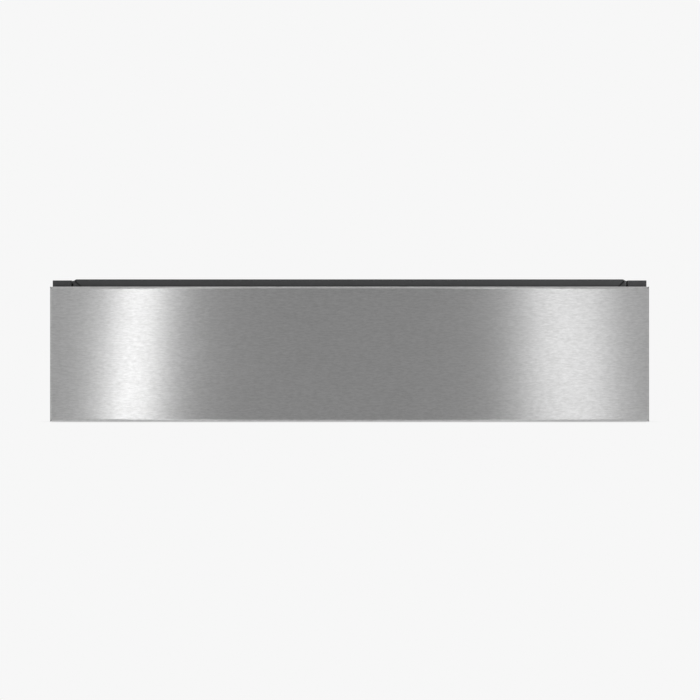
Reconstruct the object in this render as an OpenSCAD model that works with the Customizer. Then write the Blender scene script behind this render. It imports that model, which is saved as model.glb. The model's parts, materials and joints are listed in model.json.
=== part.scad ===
// Built-in vacuum-sealing drawer for a 60 cm wide, 14 cm high kitchen niche.
// Frame: +Z up, front towards -Y, origin at the middle of the footprint, on the surface it stands on.
// All sizes in millimetres.

/* [Front] */
// Width of the drawer front
front_w = 596; // [592:1:600]
// Height of the drawer front
front_h = 134.1; // [130:0.1:135]
// Depth of the folded front pan
front_t = 20; // [16:1:20]
// Radius of the folded front edges
front_edge_r = 2.4; // [1:0.1:3.2]
// Gap under the drawer front
front_gap = 0.4; // [0.4:0.1:2]

/* [Carcass] */
// Outer width of the carcass
carcass_w = 554; // [550:1:556]
// Overall height, which is the top of the front lintel
total_h = 142.3; // [142:0.1:143.5]
// Sheet thickness of the carcass
sheet = 1.2; // [0.8:0.1:1.2]
// Width of the bars of the front frame
frame_bar = 14; // [12:0.5:14]
// Hole radius in the mounting flanges
flange_hole_r = 2.25; // [2:0.05:2.75]

/* [Drawer] */
// How far the drawer box stands above the floor
box_z = 10; // [9:0.5:11]
// Top of the steel deck around the chamber
deck_z = 112; // [111:0.5:112]
// Length of the telescopic runners
runner_len = 480; // [460:5:480]
// Middle height of the runners
runner_z = 55; // [50:1:60]

/* [Vacuum chamber] */
// Inner width of the chamber
chamber_w = 350; // [320:5:360]
// Inner depth of the chamber, front to rear
chamber_d = 255; // [240:5:255]
// Inner corner radius of the chamber
chamber_r = 22; // [12:1:30]
// Thickness of the toughened glass lid
lid_t = 10; // [8:0.5:10]
// Radius of the lid hinge pins
pin_r = 3; // [2.5:0.1:3.2]
// Length of the sealing bar
seal_len = 316; // [280:2:320]

/* [Hidden] */
$fn = 48;

yf = -275;                       // front face of the drawer front
yb = yf + front_t;               // back of the front pan
yr = -251.5;                     // front face of the carcass frame
yc = yr + sheet;                 // front edge of the carcass sheets
ye = 270;                        // rear edge of the carcass sheets
cx = carcass_w / 2;              // outer face of the carcass sides
wx = cx - sheet;                 // inner face of the carcass sides
top = total_h;
ct = total_h - sheet;            // top of the side walls
lz = top - frame_bar;            // underside of the lintel
fz0 = front_gap;
fz1 = front_gap + front_h;
ro = 262.5;                      // wall side of the runners
ri = 249.5;                      // drawer side of the runners
bx = ri - 1;                     // inner face of the drawer sides
dz = deck_z;
ch_y0 = -186;                    // chamber inner front wall
ch_y1 = ch_y0 + chamber_d;
ch_yc = (ch_y0 + ch_y1) / 2;
ch_z = 28.5;                     // chamber inner floor
hinge_y = 106;
hinge_z = 119;
lid_z = dz + 3.6;
rl_y0 = -245;                    // front end of the runners
rl_y1 = rl_y0 + runner_len;
fan_x = 150;
fan_z = 66;

steel = [0.72, 0.72, 0.71];
zinc = [0.62, 0.64, 0.66];
dark = [0.18, 0.18, 0.18];
black = [0.08, 0.08, 0.08];

// ---- helpers -------------------------------------------------------------
module box(x0, x1, y0, y1, z0, z1) translate([x0, y0, z0]) cube([x1 - x0, y1 - y0, z1 - z0]);
// children drawn in (x, z), extruded along y
module ext_y(y0, y1) translate([0, y1, 0]) rotate([90, 0, 0]) linear_extrude(y1 - y0) children();
// children drawn in (y, z), extruded along x
module ext_x(x0, x1) translate([x0, 0, 0]) rotate([90, 0, 90]) linear_extrude(x1 - x0) children();
// children drawn in (x, y), extruded along z
module ext_z(z0, z1) translate([0, 0, z0]) linear_extrude(z1 - z0) children();
module cyl_x(x0, x1, y, z, r) translate([x0, y, z]) rotate([0, 90, 0]) cylinder(r = r, h = x1 - x0);
module cyl_y(y0, y1, x, z, r) translate([x, y1, z]) rotate([90, 0, 0]) cylinder(r = r, h = y1 - y0);
module cyl_z(z0, z1, x, y, r) translate([x, y, z0]) cylinder(r = r, h = z1 - z0);
module flip(side) mirror([side < 0 ? 1 : 0, 0, 0]) children();
module area(x0, x1, y0, y1) translate([x0, y0]) square([x1 - x0, y1 - y0]);
// rectangle with true round corners, by its edges
module round_area(x0, x1, y0, y1, r) {
  area(x0 + r, x1 - r, y0, y1);
  area(x0, x1, y0 + r, y1 - r);
  for (x = [x0 + r, x1 - r], y = [y0 + r, y1 - r]) translate([x, y]) circle(r = r);
}
// slot with round ends, long along the first axis
module slot2(x, y, l, w) {
  area(x - l / 2 + w / 2, x + l / 2 - w / 2, y - w / 2, y + w / 2);
  for (s = [-1, 1]) translate([x + s * (l / 2 - w / 2), y]) circle(r = w / 2);
}

// ---- carcass -------------------------------------------------------------
side_screw_y = [-200, -60, 80, 210];
side_screw_z = [24, 86];
rear_screw_x = [-264, -90, 90, 264];
rear_screw_z = [8, 132];
top_screw = [[-266, 140], [-266, 250], [266, 140], [266, 250]];

module carcass_base() color(zinc) difference() {
  union() {
    box(-cx, cx, yc, ye, 0, sheet);
    box(-(cx - frame_bar), cx - frame_bar, yr, yc, 0, 7.5);
    box(-240, 240, ye - sheet, ye, sheet, 14);
  }
  for (x = [-90, 90]) cyl_y(ye - 3, ye + 1, x, 8, 1.9);
  for (i = [0:9]) ext_z(-1, 3) slot2(-180 + i * 40, 190, 26, 5);
  for (i = [0:9]) ext_z(-1, 3) slot2(-180 + i * 40, 206, 26, 5);
}

module carcass_side() color(zinc) difference() {
  union() {
    box(wx, cx, yc, ye, sheet, ct);
    box(256, wx, yc + 22.5, ye, ct - sheet, ct);
    box(258, wx, yc + 22.5, ye, sheet, 2 * sheet);
    box(256, wx, ye - sheet, ye, 2 * sheet, ct - 4);
  }
  for (y = side_screw_y, z = side_screw_z) cyl_x(wx - 1, cx + 1, y, z, 2);
  for (p = top_screw) if (p[0] > 0) cyl_z(ct - 2, ct + 1, p[0], p[1], 1.8);
  for (z = rear_screw_z) cyl_y(ye - 3, ye + 1, 264, z, 1.9);
  for (i = [0:7]) ext_x(wx - 1, cx + 1) slot2(120 + i * 16, 112, 11, 6);
}

module carcass_rear_panel() color(zinc) difference() {
  box(-cx, cx, ye, ye + sheet, 0, ct);
  for (x = rear_screw_x, z = rear_screw_z) cyl_y(ye - 1, ye + 3, x, z, 2);
  for (s = [-1, 1]) cyl_y(ye - 1, ye + 3, lx + s * 18, lzc, 1.9);
  // inlet cut-out
  box(ix - 14.2, ix + 14.2, ye - 1, ye + 3, iz - 10.2, iz + 10.2);
  for (s = [-1, 1]) cyl_y(ye - 1, ye + 3, ix + s * 20, iz, 1.5);
  // fan exhaust, slots across
  for (i = [0:6]) ext_y(ye - 1, ye + 3) slot2(fan_x, fan_z - 27 + i * 9, 58 - abs(i - 3) * 6, 4.5);
  // general vents
  for (r = [0:3]) for (i = [0:5]) ext_y(ye - 1, ye + 3) slot2(-120 + i * 34, 96 + r * 9, 24, 4);
}

module rear_top_cover() color(zinc) difference() {
  union() {
    box(-wx, wx, 128, ye, ct - 2 * sheet, ct - sheet);
    box(-250, 250, 128, 129.2, ct - 10, ct - 2 * sheet);
    box(-240, 240, ye - sheet, ye, ct - 14, ct - 2 * sheet);
  }
  for (x = [-90, 90]) cyl_y(ye - 3, ye + 1, x, 132, 1.9);
  for (p = top_screw) cyl_z(ct - 4, ct, p[0], p[1], 1.7);
  for (r = [0:2]) for (i = [0:9]) ext_z(ct - 4, ct) slot2(-189 + i * 42, 165 + r * 24, 30, 5);
}

// Outer corner of the frame, cut off on the lintel and the jambs alike
module corner_cut() ext_y(yr - 1, yr + 30) polygon([[cx + 0.1, top - 1.8], [cx + 0.1, top + 0.1], [cx - 3.2, top + 0.1]]);

module front_lintel() color(dark) difference() {
  union() {
    ext_y(yr, yc) polygon([[-(cx - frame_bar), lz], [cx - frame_bar, lz], [cx, top], [-cx, top]]);
    box(-cx, cx, yc, yc + 20.8, ct, top);
    box(-250, 250, yc + 20.8, yc + 22, ct - 7, top);
    // tabs folded down behind the mitres
    for (s = [-1, 1]) flip(s) box(cx - 24, wx, yc + 3, yc + 4, lz, ct + 0.5);
  }
  for (s = [-1, 1]) flip(s) corner_cut();
  // the mitre is left open by a hair
  for (s = [-1, 1]) flip(s) ext_y(yr - 1, yc) polygon([[cx - frame_bar - 0.65, lz - 0.1], [cx - frame_bar + 1, lz - 0.1], [cx + 1, top + 0.1], [cx - 0.55, top + 0.1]]);
}

module front_jamb() color(dark) difference() {
  union() {
    intersection() {
      ext_y(yr, yc) polygon([[cx - frame_bar, 0], [cx, 0], [cx, top - 0.5], [cx - frame_bar, lz - 0.5]]);
      ext_z(-1, top) { area(cx - frame_bar - 1, cx - 1.1, yr - 1, yc + 1); area(cx - 2, cx, yr + 1.1, yc + 1); translate([cx - 1.1, yr + 1.1]) circle(r = 1.1); }
    }
    box(cx - frame_bar, cx - frame_bar + sheet, yc, yr + 10.5, sheet, lz - 0.5);
  }
  corner_cut();
}

module mounting_flange() color(dark) difference() {
  union() {
    box(cx + 1.8, 297.4, yr - 0.5, yr + 1.5, 2, top - 1.1);
    box(cx + 1.8, cx + 3.8, yr + 1.5, yr + 36.5, 2, top - 1.1);
    // raised pads, spot-welded to the carcass side
    for (z = [14, 50, 98, 132]) cyl_x(cx, cx + 1.8, yr + 24, z, 5);
  }
  for (z = [26, 116]) cyl_y(yr - 2, yr + 3, 288, z, flange_hole_r);
}

module carcass_screws() color(steel) {
  for (s = [-1, 1]) flip(s) for (y = side_screw_y, z = side_screw_z) {
    cyl_x(cx, cx + 2, y, z, 3.8);
    cyl_x(cx - 4, cx, y, z, 1.9);
  }
  for (x = rear_screw_x, z = rear_screw_z) {
    cyl_y(ye + sheet, ye + sheet + 2, x, z, 3.8);
    cyl_y(ye - 4, ye + sheet, x, z, 1.9);
  }
  for (p = top_screw) {
    cyl_z(ct, top - 0.1, p[0], p[1], 3.5);
    cyl_z(ct - 5, ct, p[0], p[1], 1.7);
  }
  for (s = [-1, 1]) {
    cyl_y(ye - 5, ye - 3, lx + s * 18, lzc, 3.4);
    cyl_y(ye - 3, ye + sheet, lx + s * 18, lzc, 1.9);
    cyl_y(273, 274.8, ix + s * 20, iz, 2.8);
    cyl_y(ye - 4, 273, ix + s * 20, iz, 1.5);
  }
}

// ---- runners: 3-part ball-bearing slides, drawn in (x, z) -----------------
ball_r = 1.7;
ball_u = 7;
vo = 20;                         // height of the outer ball rows from the middle
vi = 15.2;                       // height of the inner ball rows
module channel(u0, u1, v, t, web_low) {
  // C section: web on one side, flanges at +-v (outer faces)
  area(web_low ? u0 : u1 - t, web_low ? u0 + t : u1, -v, v);
  area(u0, u1, v - t, v);
  area(u0, u1, -v, -v + t);
}
module races(v, r) for (s = [-1, 1]) translate([ball_u, s * v]) circle(r = r);
module in_runner(side) flip(side) translate([ro, 0, runner_z]) mirror([1, 0, 0]) children();

module runner_outer(side) color(zinc) in_runner(side) difference() {
  ext_y(rl_y0, rl_y1) difference() { channel(0, 10.6, 23.1, 1.6, true); races(vo, 1.9); }
  for (y = side_screw_y) cyl_x(-1, 3, y, 0, 2);
}
module runner_middle(side) color(zinc) in_runner(side)
  ext_y(rl_y0, rl_y1) difference() { channel(2.4, 11.2, 18.6, 1.6, true); races(vo, 1.9); races(vi, 1.9); }
module runner_inner(side) color(zinc) in_runner(side)
  ext_y(rl_y0, rl_y1) difference() { channel(4.8, 13, 13.8, 1.6, false); races(vi, 1.9); }
module ball_cage(side, v, u0, n, y0, y1) color([0.75, 0.68, 0.42]) in_runner(side) {
  difference() {
    union() {
      box(u0, u0 + 0.4, y0, y1, -v - 0.4, v + 0.4);
      for (s = [-1, 1]) box(u0, 9.2, y0, y1, s * v - 0.4, s * v + 0.4);
    }
    for (s = [-1, 1], i = [0:n - 1]) translate([ball_u, y0 + 12 + i * (y1 - y0 - 24) / (n - 1), s * v]) sphere(r = ball_r + 0.12);
  }
  for (s = [-1, 1], i = [0:n - 1]) translate([ball_u, y0 + 12 + i * (y1 - y0 - 24) / (n - 1), s * v]) sphere(r = ball_r);
}

module runner_bracket() color(zinc) difference() {
  ext_y(-240, 235) union() {
    area(ro, ro + 1.2, 31, 79);
    area(ro, wx, 79, 80.2);
    area(ro, wx, 29.8, 31);
    area(wx - 1.2, wx, 80.2, 93);
    area(wx - 1.2, wx, 17, 29.8);
  }
  for (y = side_screw_y, z = side_screw_z) cyl_x(wx - 3, wx + 1, y, z, 1.9);
  for (y = side_screw_y) cyl_x(ro - 1, ro + 3, y, runner_z, 2);
}

// ---- push-to-open latch ----------------------------------------------------
lx = 0;
lzc = 40;
module push_latch_housing() color(black) difference() {
  union() {
    box(lx - 12, lx + 12, 247.5, ye, lzc - 10, lzc + 10);
    box(lx - 24, lx + 24, ye - 3, ye, lzc - 10, lzc + 10);
  }
  cyl_y(246, 250.5, lx, lzc, 4.07);
  // wider behind for the plunger's collar and the spring, and closed by the rear panel
  cyl_y(250, ye + 1, lx, lzc, 5.1);
  for (s = [-1, 1]) cyl_y(ye - 4, ye + 1, lx + s * 18, lzc, 1.95);
}
module latch_plunger() color([0.75, 0.75, 0.72]) {
  cyl_y(241.9, 244, lx, lzc, 3.2);
  cyl_y(244, 250.2, lx, lzc, 4);
  // collar that keeps it in the housing
  cyl_y(250.2, 252, lx, lzc, 5);
}
// coil of wire as one swept tube: turns along y
function coil_pt(i, n, r, y0, y1, turns) = let (a = 360 * turns * i / n) [r * cos(a), y0 + (y1 - y0) * i / n, r * sin(a)];
module coil_y(r, w, y0, y1, turns, n = 48, k = 6) {
  pts = [for (i = [0:n]) let (
      a = 360 * turns * i / n, c = coil_pt(i, n, r, y0, y1, turns),
      e = [cos(a), 0, sin(a)])
    each [for (j = [0:k - 1]) c + w * cos(360 * j / k) * e + w * sin(360 * j / k) * [0, 1, 0]]];
  quads = [for (i = [0:n - 1], j = [0:k - 1]) each [
      [i * k + j, (i + 1) * k + (j + 1) % k, i * k + (j + 1) % k],
      [i * k + j, (i + 1) * k + j, (i + 1) * k + (j + 1) % k]]];
  polyhedron(points = pts, faces = concat([[for (j = [0:k - 1]) j]], quads, [[for (j = [0:k - 1]) n * k + k - 1 - j]]));
}
module latch_spring() color(steel) translate([lx, 0, lzc]) coil_y(3, 0.3, 252.6, 269.5, 5, 60, 6);

// ---- mains inlet --------------------------------------------------------------
ix = -215;
iz = 70;
module power_inlet() color(black) difference() {
  union() {
    box(ix - 14, ix + 14, 250, ye + sheet, iz - 10, iz + 10);
    ext_y(ye + sheet, 275) round_area(ix - 25, ix + 25, iz - 12, iz + 12, 4);
  }
  ext_y(257, 276) polygon([[ix - 11.5, iz - 7.8], [ix + 11.5, iz - 7.8], [ix + 11.5, iz + 4], [ix + 7.5, iz + 7.8], [ix - 7.5, iz + 7.8], [ix - 11.5, iz + 4]]);
  for (s = [-1, 1]) { cyl_y(ye, 276, ix + s * 20, iz, 1.55); cyl_y(273, 276, ix + s * 20, iz, 2.9); }
  for (p = [[-7, -1], [0, 3], [7, -1]]) box(ix + p[0] - 1, ix + p[0] + 1, 249, 258, iz + p[1] - 2, iz + p[1] + 2);
}
module inlet_pins() color([0.8, 0.7, 0.45])
  for (p = [[-7, -1], [0, 3], [7, -1]]) box(ix + p[0] - 1, ix + p[0] + 1, 246, 271, iz + p[1] - 2, iz + p[1] + 2);

// ---- drawer box --------------------------------------------------------------
module drawer_bottom() color(zinc) difference() {
  box(-bx, bx, -254, 237, box_z, box_z + 1);
  for (i = [0:11]) ext_z(box_z - 1, box_z + 2) slot2(-198 + i * 36, 215, 24, 4);
}
module drawer_side() color(zinc) difference() {
  union() {
    box(bx, ri, -254, 238, box_z, dz - 1);
    box(bx - 14, bx, -254, 100, dz - 2, dz - 1);
  }
  for (p = deck_screw) if (p[0] > 0) cyl_z(dz - 3, dz, p[0], p[1], 1.7);
  for (i = [0:5]) ext_x(bx - 1, ri + 1) slot2(130 + i * 18, 96, 8, 6);
}
front_screw_x = [-225, -75, 75, 225];
front_screw_z = [30, 92];
module drawer_front_wall() color(zinc) difference() {
  box(-bx, bx, -255, -254, box_z + 1, dz - 2);
  for (x = front_screw_x, z = front_screw_z) cyl_y(-256, -253, x, z, 1.9);
}
module drawer_rear_wall() color(zinc) difference() {
  union() {
    box(-bx, bx, 237, 238, box_z + 1, 124);
    box(-bx, bx, 224, 237, 123, 124);
    // strike plate that meets the latch
    box(-16, 16, 238, 239.2, lzc - 14, lzc + 14);
  }
  for (i = [0:6]) ext_y(235, 241) slot2(fan_x, fan_z - 24 + i * 8, 52 - abs(i - 3) * 6, 4.5);
  for (x = cover_screw_x) cyl_z(122, 125, x, 230, 1.7);
  for (i = [0:5]) ext_y(235, 241) slot2(-210 + i * 28, 60, 18, 4);
  for (i = [0:5]) ext_y(235, 241) slot2(-210 + i * 28, 72, 18, 4);
}

// ---- drawer front --------------------------------------------------------------
module front_skin() color(steel) difference() {
  intersection() {
    // plan: round on the two upright front edges
    ext_z(fz0, fz1) {
      area(-front_w / 2, front_w / 2, yf + front_edge_r, yb);
      area(-front_w / 2 + front_edge_r, front_w / 2 - front_edge_r, yf, yb);
      for (s = [-1, 1]) translate([s * (front_w / 2 - front_edge_r), yf + front_edge_r]) circle(r = front_edge_r);
    }
    // side view: round on the top and bottom front edges
    ext_x(-front_w / 2, front_w / 2) {
      area(yf + front_edge_r, yb, fz0, fz1);
      area(yf, yb, fz0 + front_edge_r, fz1 - front_edge_r);
      for (z = [fz0 + front_edge_r, fz1 - front_edge_r]) translate([yf + front_edge_r, z]) circle(r = front_edge_r);
    }
  }
  box(-front_w / 2 + 1, front_w / 2 - 1, yf + 1, yb + 1, fz0 + 1, fz1 - 1);
}
module front_backing() color(zinc) {
  difference() {
    box(-front_w / 2 + 1, front_w / 2 - 1, yb - 1.2, yb, fz0 + 1, fz1 - 1);
    for (x = front_screw_x, z = front_screw_z) cyl_y(yb - 2, yb + 1, x, z, 1.7);
  }
  // stiffeners glued to the skin
  for (x = [-200, 0, 200]) difference() {
    box(x - 20, x + 20, yf + 1, yb - 1.2, fz0 + 8, fz1 - 8);
    box(x - 18.8, x + 18.8, yf + 2.2, yb, fz0 + 7, fz1 - 7);
  }
}

// ---- deck, chamber and lid -------------------------------------------------------
deck_screw = [[-240, -235], [240, -235], [-240, -75], [240, -75], [-240, 90], [240, 90]];
cover_screw_x = [-225, -75, 75, 225];
module deck() color(steel) difference() {
  union() {
    box(-ri, ri, -255, 112, dz - 1, dz);
    box(-235, 235, 112, 113, dz - 1, dz + 9);
  }
  ext_z(dz - 2, dz + 1) round_area(-chamber_w / 2 - 1.6, chamber_w / 2 + 1.6, ch_y0 - 1.6, ch_y1 + 1.6, chamber_r + 1.6);
  for (x = [-120, -40, 40, 120]) ext_z(dz - 2, dz + 1) round_area(x - 20, x + 20, -241, -223, 3);
  for (x = cover_screw_x) cyl_y(110, 115, x, dz + 5, 1.8);
  for (p = deck_screw) cyl_z(dz - 2, dz + 1, p[0], p[1], 1.8);
}
module vacuum_chamber() color(steel) difference() {
  union() {
    ext_z(ch_z - 1.5, dz + 0.5) round_area(-chamber_w / 2 - 1.5, chamber_w / 2 + 1.5, ch_y0 - 1.5, ch_y1 + 1.5, chamber_r + 1.5);
    ext_z(dz, dz + 1) round_area(-chamber_w / 2 - 11, chamber_w / 2 + 11, ch_y0 - 11, ch_y1 + 11, chamber_r + 11);
  }
  ext_z(ch_z, dz + 2) round_area(-chamber_w / 2, chamber_w / 2, ch_y0, ch_y1, chamber_r);
  for (x = [-120, 120]) cyl_z(ch_z - 3, ch_z + 1, x, -166, 10.05);
  cyl_y(ch_y1 - 1, ch_y1 + 3, 30, 92, 7.05);
}
module chamber_gasket() color([0.25, 0.25, 0.26]) difference() {
  ext_z(dz + 1, dz + 3.5) round_area(-chamber_w / 2 - 8.5, chamber_w / 2 + 8.5, ch_y0 - 8.5, ch_y1 + 8.5, chamber_r + 8.5);
  ext_z(dz, dz + 5) round_area(-chamber_w / 2 - 2.5, chamber_w / 2 + 2.5, ch_y0 - 2.5, ch_y1 + 2.5, chamber_r + 2.5);
}
module filler_plate() color([0.92, 0.92, 0.9]) difference() {
  ext_z(ch_z, ch_z + 18) round_area(-168, 168, -146, 62, 14);
  for (x = [-140, 140]) cyl_z(ch_z - 1, ch_z + 20, x, -42, 11);
}
module suction_filter() color([0.15, 0.15, 0.15]) {
  difference() {
    cyl_y(ch_y1 - 6, ch_y1, 30, 92, 13);
    for (i = [-3:3]) box(30 - 9 + abs(i), 30 + 9 - abs(i), ch_y1 - 7, ch_y1 - 3, 92 + i * 3 - 0.7, 92 + i * 3 + 0.7);
    cyl_y(ch_y1 - 4, ch_y1 + 1, 30, 92, 4);
  }
  difference() {
    cyl_y(ch_y1, ch_y1 + 16, 30, 92, 7);
    cyl_y(ch_y1 - 1, ch_y1 + 17, 30, 92, 4);
  }
}
module control_glass() color(black) ext_z(dz, dz + 3) round_area(-200, 200, -250, -214, 3);
module control_board() {
  color([0.1, 0.35, 0.2]) box(-165, 165, -245, -218, dz - 10, dz - 8.4);
  color(black) for (x = [-120, -40, 40, 120]) box(x - 8, x + 8, -238, -225, dz - 8.4, dz - 5);
  color([0.9, 0.9, 0.88]) box(-150, -130, -230, -222, dz - 18, dz - 10);
}
module rear_cover() color(zinc) difference() {
  union() {
    box(-ri, ri, 113, 238, 124, 125);
    box(-ri, ri, 113, 114, dz - 1, 124);
    for (s = [-1, 1]) flip(s) box(bx, ri, 114, 238, dz - 1, 124);
  }
  for (r = [0:1]) for (i = [0:10]) ext_z(123, 126) slot2(-190 + i * 38, 160 + r * 34, 28, 5);
  for (x = cover_screw_x) { cyl_z(123, 126, x, 230, 1.8); cyl_y(112, 115, x, dz + 5, 1.7); }
}
module deck_screws() color(steel) {
  for (p = deck_screw) { cyl_z(dz, dz + 1.6, p[0], p[1], 3.4); cyl_z(dz - 5, dz, p[0], p[1], 1.7); }
  for (x = cover_screw_x) {
    cyl_z(125, 126.4, x, 230, 3.4);
    cyl_z(120, 125, x, 230, 1.7);
    cyl_y(110.6, 112, x, dz + 5, 3.4);
    cyl_y(112, 117, x, dz + 5, 1.7);
  }
  for (x = front_screw_x, z = front_screw_z) { cyl_y(-254, -252, x, z, 3.4); cyl_y(-258, -254, x, z, 1.6); }
}

module lift_cylinders() color(steel) for (x = [-120, 120]) difference() {
  union() {
    cyl_z(14, ch_z, x, -166, 10);
    cyl_z(ch_z, ch_z + 3, x, -166, 13);
  }
  cyl_z(16, 40, x, -166, 4.05);
}
module seal_bar() color([0.78, 0.78, 0.8]) difference() {
  union() {
    for (x = [-120, 120]) cyl_z(20, 72, x, -166, 4);
    box(-seal_len / 2, seal_len / 2, -173, -159, 72, 101);
  }
  // channels along the two long sides
  for (y = [-173.1, -161]) box(-seal_len / 2 - 1, seal_len / 2 + 1, y, y + 2.1, 82, 92);
}
hx = 150;                        // hinges stand this far out from the middle
module lid_hinge_brackets() color(steel) for (s = [-1, 1]) {
  difference() {
    union() {
      for (x = [s * hx - 14, s * hx + 10]) {
        box(x, x + 4, 99, 112, dz, hinge_z);
        cyl_x(x, x + 4, hinge_y, hinge_z, 6);
      }
      box(s * hx - 14, s * hx + 14, 108.5, 112, dz, dz + 1.4);
    }
    for (x = [s * hx - 15, s * hx + 9]) cyl_x(x, x + 6, hinge_y, hinge_z, pin_r + 0.01);
  }
  // pin, headed at both ends
  cyl_x(s * hx - 15, s * hx + 15, hinge_y, hinge_z, pin_r);
  for (x = [s * hx - 16, s * hx + 14.1]) cyl_x(x, x + 1.9, hinge_y, hinge_z, 4.2);
}
module lid_glass() color([0.6, 0.68, 0.68, 0.4]) ext_z(lid_z, lid_z + lid_t) round_area(-200, 200, -206, 96, 6);
module lid_rear_rail() color([0.78, 0.78, 0.8]) difference() {
  union() {
    box(-200, 200, 82, 98, lid_z + lid_t, lid_z + lid_t + 1.4);
    box(-200, 200, 82, 98, lid_z - 2, lid_z);
    box(-200, 200, 96, 98, lid_z, lid_z + lid_t);
    for (s = [-1, 1]) {
      box(s * hx - 4, s * hx + 4, 98, hinge_y, hinge_z - 5, hinge_z + 5.5);
      cyl_x(s * hx - 4, s * hx + 4, hinge_y, hinge_z, 5.5);
    }
  }
  for (s = [-1, 1]) {
    cyl_x(s * hx - 5, s * hx + 5, hinge_y, hinge_z, pin_r + 0.06);
    // the rail's lower flange is cut away round the bracket ears
    for (d = [-15, 9.5]) box(s * hx + d, s * hx + d + 5.5, 95.9, 99, lid_z - 3, hinge_z + 10);
  }
}
module counter_bar() color([0.7, 0.2, 0.12]) box(-160, 160, -172, -160, 108, lid_z);
module lid_grip() color(dark) difference() {
  ext_x(-60, 60) round_area(-212, -198, lid_z - 1.6, lid_z + lid_t + 1.2, 1);
  box(-61, 61, -206, -190, lid_z, lid_z + lid_t);
}

// ---- machinery in the rear bay of the drawer -----------------------------------------
px = -195;
pz = 72;
py = 165;
module pump_motor() color([0.25, 0.26, 0.28]) {
  difference() {
    cyl_x(px, px + 125, py, pz, 42);
    for (a = [0:15:345]) translate([0, py, pz]) rotate([a, 0, 0]) box(px + 25, px + 100, 39.5, 44, -1.5, 1.5);
  }
  cyl_x(px - 12, px, py, pz, 34);
  box(px + 5, px + 120, py - 38, py + 38, 25, 31);
}
module pump_head() color([0.7, 0.7, 0.72]) {
  difference() {
    box(px + 125, px + 185, py - 38, py + 38, 30, 112);
    for (i = [0:6]) box(px + 130 + i * 8, px + 134 + i * 8, py - 40, py + 40, 104, 113);
    for (i = [0:6]) box(px + 130 + i * 8, px + 134 + i * 8, py - 39, py - 33, 40, 113);
  }
  cyl_x(px + 185, px + 200, py, 60, 16);
  cyl_x(px + 185, px + 203, 133, 90, 5);
}
module pump_mounts() color([0.1, 0.1, 0.1]) {
  for (x = [px + 15, px + 110], y = [py - 30, py + 30]) cyl_z(box_z + 1, 25, x, y, 8);
  for (y = [py - 28, py + 28]) cyl_z(box_z + 1, 30, px + 170, y, 8);
}
module power_board() {
  color([0.1, 0.35, 0.2]) box(85, 235, 112, 200, 17, 18.6);
  for (x = [90, 230], y = [117, 195]) color(steel) cyl_z(box_z + 1, 17, x, y, 3);
  // transformer: core and winding
  color([0.3, 0.3, 0.3]) difference() { box(95, 149, 122, 182, 18.6, 64); box(106, 138, 121, 183, 30, 53); }
  color([0.8, 0.5, 0.2]) box(106.5, 137.5, 128, 176, 30.5, 52.5);
  // capacitors, relays and a heat sink
  color([0.1, 0.1, 0.3]) for (y = [128, 150, 172]) cyl_z(18.6, 48, 166, y, 9);
  color(black) for (y = [122, 146]) box(184, 204, y, y + 16, 18.6, 36);
  color([0.75, 0.75, 0.78]) difference() { box(210, 230, 120, 190, 18.6, 52); for (i = [0:2]) box(213 + i * 6, 216 + i * 6, 119, 191, 26, 53); }
}
module valve_block() {
  color([0.7, 0.7, 0.72]) box(14, 56, 120, 146, 76, 102);
  color(black) for (x = [24, 46]) { cyl_z(44, 76, x, 133, 9); }
  color([0.85, 0.75, 0.45]) { cyl_y(104, 120, 30, 92, 7); cyl_x(8, 14, 133, 90, 4.5); }
}
module vacuum_hose() color([0.75, 0.78, 0.8]) {
  // chamber to valve
  difference() { cyl_y(72, 119, 30, 92, 9.2); cyl_y(71, 120, 30, 92, 7.02); }
}
module fan_frame() color(black) {
  difference() {
    box(fan_x - 30, fan_x + 30, 212, 237, fan_z - 30, fan_z + 30);
    cyl_y(211, 238, fan_x, fan_z, 28);
    for (x = [-25, 25], z = [-25, 25]) cyl_y(211, 238, fan_x + x, fan_z + z, 2.2);
  }
  // hub carrier on three spokes
  cyl_y(232, 235, fan_x, fan_z, 13);
  for (a = [90, 210, 330]) translate([fan_x, 0, fan_z]) rotate([0, a, 0]) box(12, 28.5, 232, 235, -2, 2);
}
module fan_rotor() color(black) translate([fan_x, 0, fan_z]) {
  cyl_y(213, 231.5, 0, 0, 13);
  intersection() {
    cyl_y(214, 230, 0, 0, 27);
    union() for (i = [0:6]) rotate([0, i * 360 / 7, 0]) translate([19.5, 222, 0]) rotate([38, 0, 0]) cube([17, 20, 1.4], center = true);
  }
}

carcass_base();
flip(-1) carcass_side();  // carcass_side_left
carcass_side();  // carcass_side_right
carcass_rear_panel();
rear_top_cover();
front_lintel();
flip(-1) front_jamb();  // front_jamb_left
front_jamb();  // front_jamb_right
flip(-1) mounting_flange();  // mounting_flange_left
mounting_flange();  // mounting_flange_right
flip(-1) runner_bracket();  // runner_bracket_left
runner_bracket();  // runner_bracket_right
runner_outer(-1);  // runner_outer_left
runner_outer(1);  // runner_outer_right
carcass_screws();
push_latch_housing();
power_inlet();
inlet_pins();
latch_plunger();
latch_spring();
runner_middle(-1);  // runner_middle_left
runner_middle(1);  // runner_middle_right
ball_cage(-1, vo, 1.8, 8, -115, 105);  // ball_cage_outer_left
ball_cage(1, vo, 1.8, 8, -115, 105);  // ball_cage_outer_right
ball_cage(-1, vi, 4.2, 8, -115, 105);  // ball_cage_inner_left
ball_cage(1, vi, 4.2, 8, -115, 105);  // ball_cage_inner_right
drawer_bottom();
flip(-1) drawer_side();  // drawer_side_left
drawer_side();  // drawer_side_right
drawer_front_wall();
drawer_rear_wall();
runner_inner(-1);  // runner_inner_left
runner_inner(1);  // runner_inner_right
front_skin();
front_backing();
deck();
vacuum_chamber();
chamber_gasket();
filler_plate();
suction_filter();
control_glass();
control_board();
rear_cover();
deck_screws();
pump_motor();
pump_head();
pump_mounts();
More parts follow.
